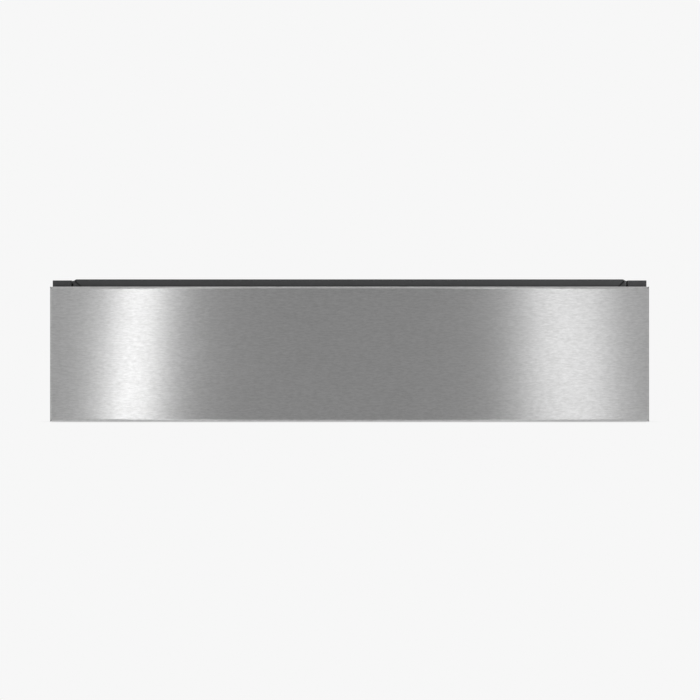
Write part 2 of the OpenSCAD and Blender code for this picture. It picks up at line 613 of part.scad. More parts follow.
power_board();
valve_block();
vacuum_hose();
fan_frame();
fan_rotor();
lift_cylinders();
seal_bar();
lid_hinge_brackets();
lid_glass();
lid_rear_rail();
counter_bar();
lid_grip();
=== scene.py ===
import json
import math
import random

import bmesh
import bpy
from mathutils import Matrix, Vector


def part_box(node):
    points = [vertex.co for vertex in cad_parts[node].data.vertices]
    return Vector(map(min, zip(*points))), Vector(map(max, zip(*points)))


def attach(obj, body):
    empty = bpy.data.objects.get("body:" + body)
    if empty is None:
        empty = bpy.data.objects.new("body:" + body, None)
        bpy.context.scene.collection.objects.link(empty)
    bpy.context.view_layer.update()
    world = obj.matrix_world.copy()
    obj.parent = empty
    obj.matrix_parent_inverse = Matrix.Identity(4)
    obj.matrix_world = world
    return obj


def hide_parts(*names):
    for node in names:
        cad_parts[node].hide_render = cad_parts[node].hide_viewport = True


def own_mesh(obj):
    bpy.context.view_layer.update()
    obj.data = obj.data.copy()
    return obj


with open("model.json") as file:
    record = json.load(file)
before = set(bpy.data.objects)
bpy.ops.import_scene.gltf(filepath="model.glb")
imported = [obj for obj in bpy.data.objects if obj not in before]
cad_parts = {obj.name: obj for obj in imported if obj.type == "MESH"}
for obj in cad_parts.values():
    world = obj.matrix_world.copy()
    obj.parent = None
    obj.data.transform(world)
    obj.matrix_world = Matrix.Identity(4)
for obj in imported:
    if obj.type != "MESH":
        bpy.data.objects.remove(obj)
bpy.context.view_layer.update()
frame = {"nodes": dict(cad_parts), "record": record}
NODE = frame["nodes"]
SLOT = {s["node"]: s["material_slot"] for s in frame["record"]["subparts"]}
MM = 0.001
TOP = 142.3  # overall height in mm
random.seed(7)

# ---------------------------------------------------------------- camera
FRONT_Y = -0.275
CAM_D = 3.0
VIEW_W = 0.6959  # width of the picture at the drawer front
cam_data = bpy.data.cameras.new("camera")
cam_data.sensor_width = 36.0
cam_data.lens = 36.0 * CAM_D / VIEW_W
cam_data.clip_end = 50.0
cam = bpy.data.objects.new("camera", cam_data)
cam.location = (0.0004, FRONT_Y - CAM_D, 0.0715)
cam.rotation_euler = (math.radians(90), 0, 0)
bpy.context.scene.collection.objects.link(cam)
bpy.context.scene.camera = cam

view = bpy.context.scene.view_settings
view.view_transform = "Standard"
view.look = "None"
view.exposure = 0.0
view.gamma = 1.0

# ---------------------------------------------------------------- studio
PALE = (0.93, 0.93, 0.93)
ROOM_FRONT = 0.255


def new_world():
    """Pale to the eye. As a light it is a soft room: dim straight in front, brighter overhead and all round."""
    world = bpy.data.worlds.new("studio")
    bpy.context.scene.world = world
    world.use_nodes = True
    nt = world.node_tree
    nt.nodes.clear()

    def node(kind, **attrs):
        n = nt.nodes.new(kind)
        for k, v in attrs.items():
            setattr(n, k, v)
        return n

    def ramp(value, lo, hi, to_lo, to_hi):
        n = node("ShaderNodeMapRange", interpolation_type="SMOOTHSTEP")
        for k, v in zip(("From Min", "From Max", "To Min", "To Max"), (lo, hi, to_lo, to_hi)):
            n.inputs[k].default_value = v
        nt.links.new(value, n.inputs["Value"])
        return n.outputs["Result"]

    out = node("ShaderNodeOutputWorld")
    mix = node("ShaderNodeMixShader")
    path = node("ShaderNodeLightPath")
    seen = node("ShaderNodeBackground")
    seen.inputs["Color"].default_value = (*PALE, 1)
    seen.inputs["Strength"].default_value = 1.0
    around = node("ShaderNodeBackground")
    around.inputs["Color"].default_value = (1, 1, 1, 1)
    sep = node("ShaderNodeSeparateXYZ")
    nt.links.new(node("ShaderNodeTexCoord").outputs["Generated"], sep.inputs[0])
    def add(a, b):
        n = node("ShaderNodeMath", operation="ADD")
        nt.links.new(a, n.inputs[0])
        nt.links.new(b, n.inputs[1])
        return n.outputs[0]

    front = ramp(sep.outputs["Y"], -0.95, -0.75, ROOM_FRONT, 0.83)
    over = ramp(sep.outputs["Y"], -0.65, -0.2, 0.0, -0.41)
    back = ramp(sep.outputs["Y"], 0.3, 0.85, 0.0, 0.5)
    nt.links.new(add(add(front, over), back), around.inputs["Strength"])
    nt.links.new(path.outputs["Is Camera Ray"], mix.inputs[0])
    nt.links.new(around.outputs[0], mix.inputs[1])
    nt.links.new(seen.outputs[0], mix.inputs[2])
    nt.links.new(mix.outputs[0], out.inputs["Surface"])


new_world()


def softbox(name, location, target, size_x, size_y, radiance, lean=0.0):
    data = bpy.data.lights.new(name, "AREA")
    data.shape = "RECTANGLE"
    data.size = size_x
    data.size_y = size_y
    data.energy = radiance * math.pi * size_x * size_y
    ob = bpy.data.objects.new(name, data)
    ob.location = location
    d = Vector(target) - Vector(location)
    ob.rotation_euler = (d.to_track_quat("-Z", "Y") @ Matrix.Rotation(math.radians(-lean), 3, "Z").to_quaternion()).to_euler()
    ob.visible_camera = False
    bpy.context.scene.collection.objects.link(ob)
    return ob


# two near strips left and right, broad dim wings at the camera, boxes overhead and a faint glow from below the light table
NEAR_Y = FRONT_Y - 1.0
LAMP_Y = FRONT_Y - CAM_D - 0.02
softbox("strip_left", (-0.2867, NEAR_Y, 0.07), (-0.2867, FRONT_Y, 0.07), 0.045, 0.7, 5.1, 2.0)
softbox("strip_right", (0.2890, NEAR_Y, 0.07), (0.2890, FRONT_Y, 0.07), 0.105, 0.7, 2.06, -1.0)
softbox("wing_left", (-1.05, LAMP_Y, 0.07), (-1.05, FRONT_Y, 0.07), 0.9, 4.0, 0.285)
softbox("wing_right", (1.05, LAMP_Y, 0.07), (1.05, FRONT_Y, 0.07), 0.9, 4.0, 0.31)
softbox("overhead", (0.0, 0.9, 2.3), (0.0, 0.0, 0.0), 2.8, 1.8, 0.55)
softbox("side_left", (-2.0, 0.6, 2.1), (0.0, 0.0, 0.05), 1.6, 1.4, 1.5)
softbox("side_right", (2.0, 0.6, 2.1), (0.0, 0.0, 0.05), 1.6, 1.4, 1.5)
softbox("glow_below", (0.0, -0.25, -1.2), (0.0, -0.25, 0.0), 2.4, 1.4, 0.35)
# a low fill from the right that shows on painted surfaces only
softbox("fill_right", (1.0, -1.2, 0.25), (0.25, FRONT_Y, 0.07), 0.5, 0.5, 7.0).visible_glossy = False


def make_floor():
    bm = bmesh.new()
    s = 9.0
    vs = [bm.verts.new(c) for c in ((-s, -s, 0), (s, -s, 0), (s, s, 0), (-s, s, 0))]
    bm.faces.new(vs)
    me = bpy.data.meshes.new("floor")
    bm.to_mesh(me)
    bm.free()
    ob = bpy.data.objects.new("floor", me)
    ob.location.z = -0.0002
    bpy.context.scene.collection.objects.link(ob)
    mat = bpy.data.materials.new("floor_pale")
    mat.use_nodes = True
    nt = mat.node_tree
    nt.nodes.clear()
    out = nt.nodes.new("ShaderNodeOutputMaterial")
    path = nt.nodes.new("ShaderNodeLightPath")
    mix = nt.nodes.new("ShaderNodeMixShader")
    # painted contact shadow: ambient occlusion lowers the floor's glow close to the object
    ao = nt.nodes.new("ShaderNodeAmbientOcclusion")
    ao.samples = 8
    ao.inputs["Distance"].default_value = 0.06
    ramp = nt.nodes.new("ShaderNodeMapRange")
    ramp.inputs["From Min"].default_value = 0.0
    ramp.inputs["From Max"].default_value = 0.75
    ramp.inputs["To Min"].default_value = 0.58
    ramp.inputs["To Max"].default_value = 0.93
    seen = nt.nodes.new("ShaderNodeEmission")
    given = nt.nodes.new("ShaderNodeBsdfTransparent")
    seen.inputs["Color"].default_value = (1, 1, 1, 1)
    nt.links.new(ao.outputs["AO"], ramp.inputs["Value"])
    # little light reaches the table under the housing, where it shows through the slots of the base
    here = nt.nodes.new("ShaderNodeSeparateXYZ")
    nt.links.new(nt.nodes.new("ShaderNodeNewGeometry").outputs["Position"], here.inputs[0])
    glow_with_painted_shadow = ramp.outputs["Result"]
    shares = []
    for axis, full, none in (("X", 0.262, 0.272), ("Y", 0.236, 0.248)):
        size = nt.nodes.new("ShaderNodeMath")
        size.operation = "ABSOLUTE"
        nt.links.new(here.outputs[axis], size.inputs[0])
        inside = nt.nodes.new("ShaderNodeMapRange")
        for k, v in zip(("From Min", "From Max", "To Min", "To Max"), (full, none, 1.0, 0.0)):
            inside.inputs[k].default_value = v
        nt.links.new(size.outputs[0], inside.inputs["Value"])
        shares.append(inside.outputs["Result"])
    under = nt.nodes.new("ShaderNodeMath")
    under.operation = "MULTIPLY"
    dim = nt.nodes.new("ShaderNodeMapRange")
    dim.inputs["To Min"].default_value = 1.0
    dim.inputs["To Max"].default_value = 0.24
    dimmed = nt.nodes.new("ShaderNodeMath")
    dimmed.operation = "MULTIPLY"
    nt.links.new(shares[0], under.inputs[0])
    nt.links.new(shares[1], under.inputs[1])
    nt.links.new(under.outputs[0], dim.inputs["Value"])
    nt.links.new(glow_with_painted_shadow, dimmed.inputs[0])
    nt.links.new(dim.outputs["Result"], dimmed.inputs[1])
    nt.links.new(dimmed.outputs[0], seen.inputs["Strength"])
    # from below the light table is clear
    above = nt.nodes.new("ShaderNodeMath")
    above.operation = "GREATER_THAN"
    seen_by = nt.nodes.new("ShaderNodeMath")
    seen_by.operation = "MULTIPLY"
    nt.links.new(path.outputs["Is Camera Ray"], above.inputs[0])
    nt.links.new(nt.nodes.new("ShaderNodeNewGeometry").outputs["Backfacing"], above.inputs[1])
    nt.links.new(path.outputs["Is Camera Ray"], seen_by.inputs[0])
    nt.links.new(above.outputs[0], seen_by.inputs[1])
    nt.links.new(seen_by.outputs[0], mix.inputs[0])
    nt.links.new(given.outputs[0], mix.inputs[1])
    nt.links.new(seen.outputs[0], mix.inputs[2])
    nt.links.new(mix.outputs[0], out.inputs["Surface"])
    me.materials.append(mat)


make_floor()


# ---------------------------------------------------------------- materials
class Mat:
    """A Principled material with a few short ways to add nodes."""

    def __init__(self, name, color, metallic=0.0, roughness=0.5, **sockets):
        self.m = bpy.data.materials.new(name)
        self.m.use_nodes = True
        self.nt = self.m.node_tree
        self.nt.nodes.clear()
        self.out = self.node("ShaderNodeOutputMaterial")
        self.p = self.node("ShaderNodeBsdfPrincipled")
        self.nt.links.new(self.p.outputs[0], self.out.inputs["Surface"])
        self.p.inputs["Base Color"].default_value = (*color[:3], 1)
        self.p.inputs["Metallic"].default_value = metallic
        self.p.inputs["Roughness"].default_value = roughness
        for k, v in sockets.items():
            self.p.inputs[k.replace("_", " ")].default_value = v
        self.color = color
        self.roughness = roughness

    def node(self, kind, **attrs):
        n = self.nt.nodes.new(kind)
        for k, v in attrs.items():
            setattr(n, k, v)
        return n

    def link(self, a, b):
        self.nt.links.new(a, b)

    def coords(self, scale=(1, 1, 1), kind="Object", offset=(0, 0, 0), rotation=(0, 0, 0)):
        tc = self.node("ShaderNodeTexCoord")
        mp = self.node("ShaderNodeMapping")
        mp.inputs["Scale"].default_value = scale
        mp.inputs["Location"].default_value = offset
        mp.inputs["Rotation"].default_value = rotation
        self.link(tc.outputs[kind], mp.inputs["Vector"])
        return mp.outputs[0]

    def noise(self, vec, scale=1.0, detail=2.0, rough=0.5, distortion=0.0):
        n = self.node("ShaderNodeTexNoise")
        n.inputs["Scale"].default_value = scale
        n.inputs["Detail"].default_value = detail
        n.inputs["Roughness"].default_value = rough
        n.inputs["Distortion"].default_value = distortion
        self.link(vec, n.inputs["Vector"])
        return n.outputs["Fac"]

    def voronoi(self, vec, scale=1.0, feature="F1", output="Distance", randomness=1.0):
        n = self.node("ShaderNodeTexVoronoi", feature=feature)
        n.inputs["Scale"].default_value = scale
        n.inputs["Randomness"].default_value = randomness
        self.link(vec, n.inputs["Vector"])
        return n.outputs[output]

    def remap(self, value, lo, hi, to_lo, to_hi, smooth=False):
        n = self.node("ShaderNodeMapRange")
        if smooth:
            n.interpolation_type = "SMOOTHSTEP"
        n.inputs["From Min"].default_value = lo
        n.inputs["From Max"].default_value = hi
        n.inputs["To Min"].default_value = to_lo
        n.inputs["To Max"].default_value = to_hi
        self.link(value, n.inputs["Value"])
        return n.outputs["Result"]

    def math(self, op, a, b=None, clamp=False):
        n = self.node("ShaderNodeMath", operation=op, use_clamp=clamp)
        for i, v in enumerate((a, b)):
            if v is None:
                continue
            if isinstance(v, (int, float)):
                n.inputs[i].default_value = v
            else:
                self.link(v, n.inputs[i])
        return n.outputs[0]

    def mix_color(self, fac, a, b, blend="MIX"):
        n = self.node("ShaderNodeMix", data_type="RGBA", blend_type=blend)
        for sock, v in ((n.inputs[0], fac), (n.inputs[6], a), (n.inputs[7], b)):
            if isinstance(v, (int, float)):
                sock.default_value = v
            elif isinstance(v, tuple):
                sock.default_value = (*v[:3], 1)
            else:
                self.link(v, sock)
        return n.outputs[2]

    def shade(self, factor, base=None):
        """Base colour times a grey factor socket."""
        base = base or tuple(self.color)
        c = self.node("ShaderNodeCombineColor")
        for ch in ("Red", "Green", "Blue"):
            self.link(factor, c.inputs[ch])
        out = self.mix_color(1.0, base, c.outputs[0], "MULTIPLY")
        self.link(out, self.p.inputs["Base Color"])
        return out

    def rough(self, socket):
        self.link(socket, self.p.inputs["Roughness"])

    def bump(self, height, distance, strength=1.0, edge=0.0, normal=None):
        b = self.node("ShaderNodeBump")
        b.inputs["Distance"].default_value = distance
        b.inputs["Strength"].default_value = strength
        self.link(height, b.inputs["Height"])
        if edge:
            e = self.node("ShaderNodeBevel", samples=4)
            e.inputs["Radius"].default_value = edge
            self.link(e.outputs[0], b.inputs["Normal"])
        elif normal is not None:
            self.link(normal, b.inputs["Normal"])
        self.link(b.outputs[0], self.p.inputs["Normal"])
        return b.outputs[0]

    def edge(self, radius):
        e = self.node("ShaderNodeBevel", samples=4)
        e.inputs["Radius"].default_value = radius
        self.link(e.outputs[0], self.p.inputs["Normal"])


def brushed(name, color, roughness, along, streak=20.0, pitch=1.2, contrast=0.08, aniso=0.0, rotation=0.0, uv=False, bump=0.00002, rough_var=0.12, wave=0.0):
    """Brushed steel: streaks that run along one axis ('x' or 'y'), streak mm long and pitch mm wide.
    With uv the streaks follow the grain map, and wave is how far in metres the sheet swells between flat."""
    m = Mat(name, color, 1.0, roughness)
    if aniso:
        m.p.inputs["Anisotropic"].default_value = aniso
        m.p.inputs["Anisotropic Rotation"].default_value = rotation
        t = m.node("ShaderNodeTangent", direction_type="UV_MAP" if uv else "RADIAL")
        if uv:
            t.uv_map = "grain"
        else:
            t.axis = "Z"
        m.link(t.outputs[0], m.p.inputs["Tangent"])
    lo = 1000.0 / streak
    hi = 1000.0 / pitch

    def layer(kx, kz, offset):
        if uv:
            return m.noise(m.coords((lo * kx, hi * kz, 1.0), "UV", offset=offset), 1.0, 3.0, 0.6)
        v = (lo * kx, hi * kz, hi * kz) if along == "x" else (hi * kz, lo * kx, hi * kz)
        return m.noise(m.coords(v, offset=offset), 1.0, 3.0, 0.6)

    a = layer(1.0, 1.0, (0.3, 0.1, 0.7))
    b = layer(1.7, 1.23, (7.1, 2.7, 5.3))
    c = layer(3.6, 3.3, (3.1, 1.7, 5.3))
    cloud = m.noise(m.coords((14, 14, 14), offset=(1, 8, 2)), 1.0, 2.0, 0.5)
    s = m.math("ADD", m.math("MULTIPLY", a, 0.64), m.math("MULTIPLY", c, 0.36))
    g = m.remap(s, 0.25, 0.75, 1.0 - contrast, 1.0 + contrast)
    g = m.math("MULTIPLY", g, m.remap(cloud, 0.3, 0.7, 0.985, 1.015))
    m.shade(g)
    if uv:  # the deeper strokes are rougher and darker
        m.rough(m.remap(s, 0.25, 0.75, roughness * (1 + rough_var), roughness * (1 - rough_var)))
    else:
        m.rough(m.remap(b, 0.25, 0.75, roughness * (1 - rough_var), roughness * (1 + rough_var)))
    if bump:
        soft = None
        if wave:
            # bowed a little: the outer quarters of the panel lean in towards the top
            sep = m.node("ShaderNodeSeparateXYZ")
            m.link(m.coords(), sep.inputs[0])
            bow = m.math("MULTIPLY", m.math("MULTIPLY", sep.outputs["X"], sep.outputs["X"]), m.math("SUBTRACT", sep.outputs["Z"], 0.067))
            swell = m.math("MULTIPLY", m.noise(m.coords((5, 5, 9), offset=(2, 4, 1)), 1.0, 1.0, 0.5), wave)
            w = m.node("ShaderNodeBump")
            w.inputs["Distance"].default_value = 1.0
            m.link(m.math("ADD", m.math("MULTIPLY", bow, -0.074), swell), w.inputs["Height"])
            soft = w.outputs[0]
        m.bump(b, bump, 1.0, normal=soft)
    return m


def front_seams(m):
    """Darkens the hairline seams where the folded edges of the front meet at its four corners."""
    sep = m.node("ShaderNodeSeparateXYZ")
    m.link(m.coords((1000, 1000, 1000)), sep.inputs[0])
    a = m.math("SUBTRACT", 298.0, m.math("ABSOLUTE", sep.outputs["X"]))
    b = m.math("SUBTRACT", 67.05, m.math("ABSOLUTE", m.math("SUBTRACT", sep.outputs["Z"], 67.45)))
    line = m.remap(m.math("ABSOLUTE", m.math("SUBTRACT", a, b)), 0.2, 0.5, 1.0, 0.0)
    near = m.remap(m.math("MAXIMUM", a, b), 1.7, 2.1, 1.0, 0.0)
    keep = m.math("SUBTRACT", 1.0, m.math("MULTIPLY", m.math("MULTIPLY", line, near), 0.8))
    base = m.p.inputs["Base Color"].links[0].from_socket
    c = m.node("ShaderNodeCombineColor")
    for ch in ("Red", "Green", "Blue"):
        m.link(keep, c.inputs[ch])
    m.link(m.mix_color(1.0, base, c.outputs[0], "MULTIPLY"), m.p.inputs["Base Color"])


def make_materials():
    M = {}
    # front: brushed from side to side
    M["brushed_front"] = brushed("brushed_front", (0.58, 0.58, 0.58), 0.297, "x", 5, 1.3, 0.2, 1.0, 0.25, True, 0.00001, 0.075, 0.0003)
    front_seams(M["brushed_front"])

    # frame: charcoal powder coat
    m = Mat("frame_charcoal", (0.046, 0.047, 0.049), 0.0, 0.42)
    n = m.noise(m.coords((1, 1, 1)), 900, 2, 0.6)
    c = m.noise(m.coords((1, 1, 1), offset=(4, 2, 1)), 22, 3, 0.5)
    tone = m.math("MULTIPLY", m.remap(n, 0.3, 0.7, 0.9, 1.1), m.remap(c, 0.3, 0.7, 0.94, 1.06))
    # painted shade: ambient occlusion darkens the gaps between the folded sheets, and a painted highlight lightens the
    # edges
    ao = m.node("ShaderNodeAmbientOcclusion", samples=8)
    ao.inputs["Distance"].default_value = 0.006
    tone = m.math("MULTIPLY", tone, m.remap(ao.outputs["AO"], 0.35, 0.85, 0.02, 1.0))
    geo = m.node("ShaderNodeNewGeometry")
    nrm = m.node("ShaderNodeSeparateXYZ")
    m.link(geo.outputs["Normal"], nrm.inputs[0])
    # painted highlight: faces turned sideways and partly towards the front are lightened, up to 3.2 times
    side = m.remap(m.math("ABSOLUTE", nrm.outputs["X"]), 0.1, 0.6, 0.0, 2.2)
    highlight_facing = m.remap(nrm.outputs["Y"], -0.5, -0.2, 1.0, 0.0)
    tone = m.math("MULTIPLY", tone, m.math("ADD", m.math("MULTIPLY", side, highlight_facing), 1.0))
    # shadow line of the mitres
    pos = m.node("ShaderNodeSeparateXYZ")
    m.link(m.coords((1000, 1000, 1000)), pos.inputs[0])
    mitre = m.math("SUBTRACT", m.math("SUBTRACT", m.math("ABSOLUTE", pos.outputs["X"]), pos.outputs["Z"]), 134.5)
    line = m.remap(m.math("ABSOLUTE", mitre), 0.75, 1.05, 0.97, 0.0)
    front = m.remap(pos.outputs["Y"], -250.6, -250.2, 1.0, 0.0)
    bar = m.remap(m.math("ABSOLUTE", pos.outputs["X"]), 277.2, 277.6, 1.0, 0.0)
    low = m.remap(pos.outputs["Z"], 100.0, 101.0, 0.0, 1.0)
    hit = m.math("MULTIPLY", m.math("MULTIPLY", line, front), m.math("MULTIPLY", bar, low))
    tone = m.math("MULTIPLY", tone, m.math("SUBTRACT", 1.0, hit))
    m.shade(tone)
    m.rough(m.remap(n, 0.3, 0.7, 0.36, 0.5))
    m.bump(n, 0.00006, 0.35, edge=0.0004)
    M["frame_charcoal"] = m

    # galvanised sheet: soft spangle
    def galvanised(name, color, off, cell):
        m = Mat(name, color, 1.0, 0.4)
        v = m.coords((1, 1, 1), offset=off)
        warp = m.noise(v, 60, 2, 0.5)
        flake = m.voronoi(v, cell, "F1", "Color")
        sep = m.node("ShaderNodeSeparateColor")
        m.link(flake, sep.inputs[0])
        fine = m.noise(v, 420, 3, 0.6)
        g = m.math("MULTIPLY", m.remap(sep.outputs[0], 0, 1, 0.955, 1.035), m.remap(fine, 0.3, 0.7, 0.97, 1.03))
        g = m.math("MULTIPLY", g, m.remap(warp, 0.3, 0.7, 0.96, 1.04))
        m.shade(g)
        m.rough(m.math("ADD", m.remap(sep.outputs[1], 0, 1, 0.35, 0.41), m.remap(fine, 0.3, 0.7, -0.03, 0.04)))
        m.bump(fine, 0.00002, 0.5, edge=0.0004)
        return m

    M["housing_sheet"] = galvanised("housing_sheet", (0.5, 0.515, 0.53), (0, 0, 0), 190)
    M["drawer_sheet"] = galvanised("drawer_sheet", (0.54, 0.55, 0.56), (2, 5, 1), 220)

    M["runner_zinc"] = brushed("runner_zinc", (0.6, 0.62, 0.65), 0.34, "y", 60, 2.4, 0.04, bump=0.000004, rough_var=0.06)
    M["deck_steel"] = brushed("deck_steel", (0.6, 0.598, 0.59), 0.3, "x", 30, 1.0, 0.07)
    m = brushed("chamber_steel", (0.62, 0.618, 0.61), 0.26, "x", 14, 1.4, 0.05)
    M["chamber_steel"] = m

    def small_metal(name, color, rough, scale=700):
        m = Mat(name, color, 1.0, rough)
        n = m.noise(m.coords(), scale, 2, 0.5)
        m.shade(m.remap(n, 0.3, 0.7, 0.92, 1.06))
        m.rough(m.remap(n, 0.3, 0.7, rough * 0.8, rough * 1.25))
        m.edge(0.0002)
        return m

    M["screw_steel"] = small_metal("screw_steel", (0.6, 0.595, 0.58), 0.24)
    M["spring_steel"] = small_metal("spring_steel", (0.5, 0.5, 0.5), 0.25)
    M["contact_brass"] = small_metal("contact_brass", (0.78, 0.62, 0.35), 0.25)
    M["cage_brass"] = small_metal("cage_brass", (0.66, 0.6, 0.45), 0.3)
    M["ball_steel"] = small_metal("ball_steel", (0.7, 0.7, 0.7), 0.08)

    m = Mat("pump_alloy", (0.6, 0.6, 0.61), 1.0, 0.45)
    n = m.noise(m.coords(), 500, 3, 0.6)
    m.shade(m.remap(n, 0.3, 0.7, 0.88, 1.08))
    m.rough(m.remap(n, 0.3, 0.7, 0.38, 0.55))
    m.bump(n, 0.0002, 0.4, edge=0.0006)
    M["pump_alloy"] = m

    m = Mat("bar_alloy", (0.68, 0.68, 0.69), 1.0, 0.32)
    n = m.noise(m.coords((40, 900, 900)), 1, 2, 0.5)
    m.shade(m.remap(n, 0.3, 0.7, 0.94, 1.05))
    m.rough(m.remap(n, 0.3, 0.7, 0.27, 0.38))
    m.bump(n, 0.00001, 0.6, edge=0.0005)
    M["bar_alloy"] = m

    def plastic(name, color, rough, grain=900, depth=0.00005, edge=0.0005, tone=0.05):
        m = Mat(name, color, 0.0, rough)
        n = m.noise(m.coords(), grain, 2, 0.55)
        c = m.noise(m.coords(offset=(3, 3, 3)), 30, 2, 0.5)
        m.shade(m.math("MULTIPLY", m.remap(n, 0.3, 0.7, 1 - tone, 1 + tone), m.remap(c, 0.3, 0.7, 0.97, 1.03)))
        m.rough(m.remap(n, 0.3, 0.7, rough * 0.88, rough * 1.15))
        m.bump(n, depth, 0.5, edge=edge)
        return m

    M["latch_plastic"] = plastic("latch_plastic", (0.1, 0.1, 0.105), 0.45)
    M["inlet_plastic"] = plastic("inlet_plastic", (0.022, 0.022, 0.023), 0.42)
    M["latch_tip"] = plastic("latch_tip", (0.62, 0.62, 0.6), 0.35)
    M["filler_plastic"] = plastic("filler_plastic", (0.74, 0.74, 0.72), 0.42, 500, 0.00008, 0.0012, 0.02)
    M["filter_plastic"] = plastic("filter_plastic", (0.04, 0.04, 0.041), 0.45)
    M["fan_plastic"] = plastic("fan_plastic", (0.025, 0.025, 0.026), 0.38)
    M["grip_plastic"] = plastic("grip_plastic", (0.035, 0.035, 0.036), 0.38)
    M["motor_enamel"] = plastic("motor_enamel", (0.03, 0.032, 0.035), 0.3, 300, 0.0001, 0.0008)

    def rubber(name, color, rough=0.6, grain=1200):
        m = Mat(name, color, 0.0, rough)
        n = m.noise(m.coords(), grain, 2, 0.6)
        m.shade(m.remap(n, 0.3, 0.7, 0.9, 1.1))
        m.rough(m.remap(n, 0.3, 0.7, rough * 0.9, rough * 1.1))
        m.bump(n, 0.00004, 0.5, edge=0.0005)
        return m

    M["gasket_silicone"] = rubber("gasket_silicone", (0.05, 0.05, 0.053), 0.5)
    M["mount_rubber"] = rubber("mount_rubber", (0.02, 0.02, 0.02), 0.7)
    M["counter_silicone"] = rubber("counter_silicone", (0.36, 0.05, 0.03), 0.5)
    m = rubber("hose_silicone", (0.62, 0.64, 0.65), 0.35)
    m.p.inputs["Transmission Weight"].default_value = 0.35
    M["hose_silicone"] = m

    # black-backed glass of the touch panel
    m = Mat("panel_glass", (0.008, 0.008, 0.009), 0.0, 0.06, Coat_Weight=0.6, Coat_Roughness=0.03)
    n = m.noise(m.coords(), 25, 2, 0.5)
    m.rough(m.remap(n, 0.3, 0.7, 0.045, 0.085))
    m.shade(m.remap(n, 0.3, 0.7, 0.9, 1.1))
    M["panel_glass"] = m

    # lid glass
    m = Mat("lid_glass", (0.95, 0.973, 0.966), 0.0, 0.012, Transmission_Weight=1.0, IOR=1.5)
    n = m.noise(m.coords(), 12, 1, 0.5)
    m.rough(m.remap(n, 0.3, 0.7, 0.008, 0.02))
    M["lid_glass"] = m

    m = Mat("glass_edge", (0.62, 0.74, 0.71), 0.0, 0.4, Transmission_Weight=0.6, IOR=1.5)
    n = m.noise(m.coords((1, 1, 1)), 900, 2, 0.6)
    m.rough(m.remap(n, 0.3, 0.7, 0.32, 0.5))
    m.shade(m.remap(n, 0.3, 0.7, 0.92, 1.06))
    M["glass_edge"] = m

    # woven glass cloth with a slippery coat, over the sealing bands
    m = Mat("seal_tape", (0.36, 0.235, 0.13), 0.0, 0.34)
    wx = m.node("ShaderNodeTexWave", wave_type="BANDS", bands_direction="X")
    wx.inputs["Scale"].default_value = 260
    m.link(m.coords(), wx.inputs["Vector"])
    wy = m.node("ShaderNodeTexWave", wave_type="BANDS", bands_direction="Y")
    wy.inputs["Scale"].default_value = 260
    m.link(m.coords(), wy.inputs["Vector"])
    weave = m.math("MULTIPLY", wx.outputs["Fac"], wy.outputs["Fac"])
    cloud = m.noise(m.coords(), 60, 3, 0.6)
    m.shade(m.math("MULTIPLY", m.remap(weave, 0, 1, 0.88, 1.12), m.remap(cloud, 0.3, 0.7, 0.88, 1.1)))
    m.bump(weave, 0.00006, 0.5)
    M["seal_tape"] = m

    M["print_white"] = plastic("print_white", (0.62, 0.63, 0.64), 0.5, 700, 0.00001, 0.0, 0.03)
    m = Mat("light_window", (0.32, 0.36, 0.38), 0.0, 0.2, Coat_Weight=0.5)
    n = m.noise(m.coords(), 900, 2, 0.5)
    m.shade(m.remap(n, 0.3, 0.7, 0.9, 1.1))
    M["light_window"] = m

    # stacked iron sheets: fine lines across the stack
    m = Mat("lamination", (0.16, 0.155, 0.15), 0.8, 0.45)
    w = m.node("ShaderNodeTexWave", wave_type="BANDS", bands_direction="Y")
    w.inputs["Scale"].default_value = 300
    w.inputs["Distortion"].default_value = 0.4
    m.link(m.coords(), w.inputs["Vector"])
    n = m.noise(m.coords(), 120, 3, 0.6)
    m.shade(m.math("MULTIPLY", m.remap(w.outputs["Fac"], 0, 1, 0.7, 1.15), m.remap(n, 0.3, 0.7, 0.85, 1.1)))
    m.bump(w.outputs["Fac"], 0.00008, 0.6)
    M["lamination"] = m

    m = Mat("copper_wire", (0.72, 0.36, 0.18), 0.9, 0.3)
    w = m.node("ShaderNodeTexWave", wave_type="BANDS", bands_direction="Z")
    w.inputs["Scale"].default_value = 320
    m.link(m.coords(), w.inputs["Vector"])
    m.shade(m.remap(w.outputs["Fac"], 0, 1, 0.6, 1.1))
    m.bump(w.outputs["Fac"], 0.0002, 0.8)
    M["copper_wire"] = m
    M["capacitor_sleeve"] = plastic("capacitor_sleeve", (0.012, 0.02, 0.05), 0.25, 400, 0.00002, 0.0, 0.05)

    # circuit board: green resist over copper lanes
    m = Mat("circuit_board", (0.02, 0.13, 0.05), 0.0, 0.3)
    b = m.node("ShaderNodeTexBrick")
    m.link(m.coords((1, 1, 1)), b.inputs["Vector"])
    b.inputs["Scale"].default_value = 260
    b.inputs["Mortar Size"].default_value = 0.035
    b.inputs["Color1"].default_value = (0.018, 0.12, 0.045, 1)
    b.inputs["Color2"].default_value = (0.012, 0.09, 0.035, 1)
    b.inputs["Mortar"].default_value = (0.05, 0.2, 0.08, 1)
    m.link(b.outputs["Color"], m.p.inputs["Base Color"])
    m.bump(b.outputs["Fac"], 0.00005, 0.4)
    M["circuit_board"] = m
    return M


MAT = make_materials()


def dress(ob, key):
    ob.data.materials.clear()
    ob.data.materials.append(MAT[key].m)


for name, ob in NODE.items():
    dress(ob, SLOT[name])


# ---------------------------------------------------------------- mesh helpers
def add_object(name, bm, body, slot, material=None, smooth=None):
    me = bpy.data.meshes.new(name)
    bm.to_mesh(me)
    bm.free()
    ob = bpy.data.objects.new(name, me)
    bpy.context.scene.collection.objects.link(ob)
    me.materials.append((MAT[material or slot]).m)
    if smooth is not None:
        for p in me.polygons:
            p.use_smooth = True
        me.set_sharp_from_angle(angle=math.radians(smooth))
    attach(ob, body)
    return ob


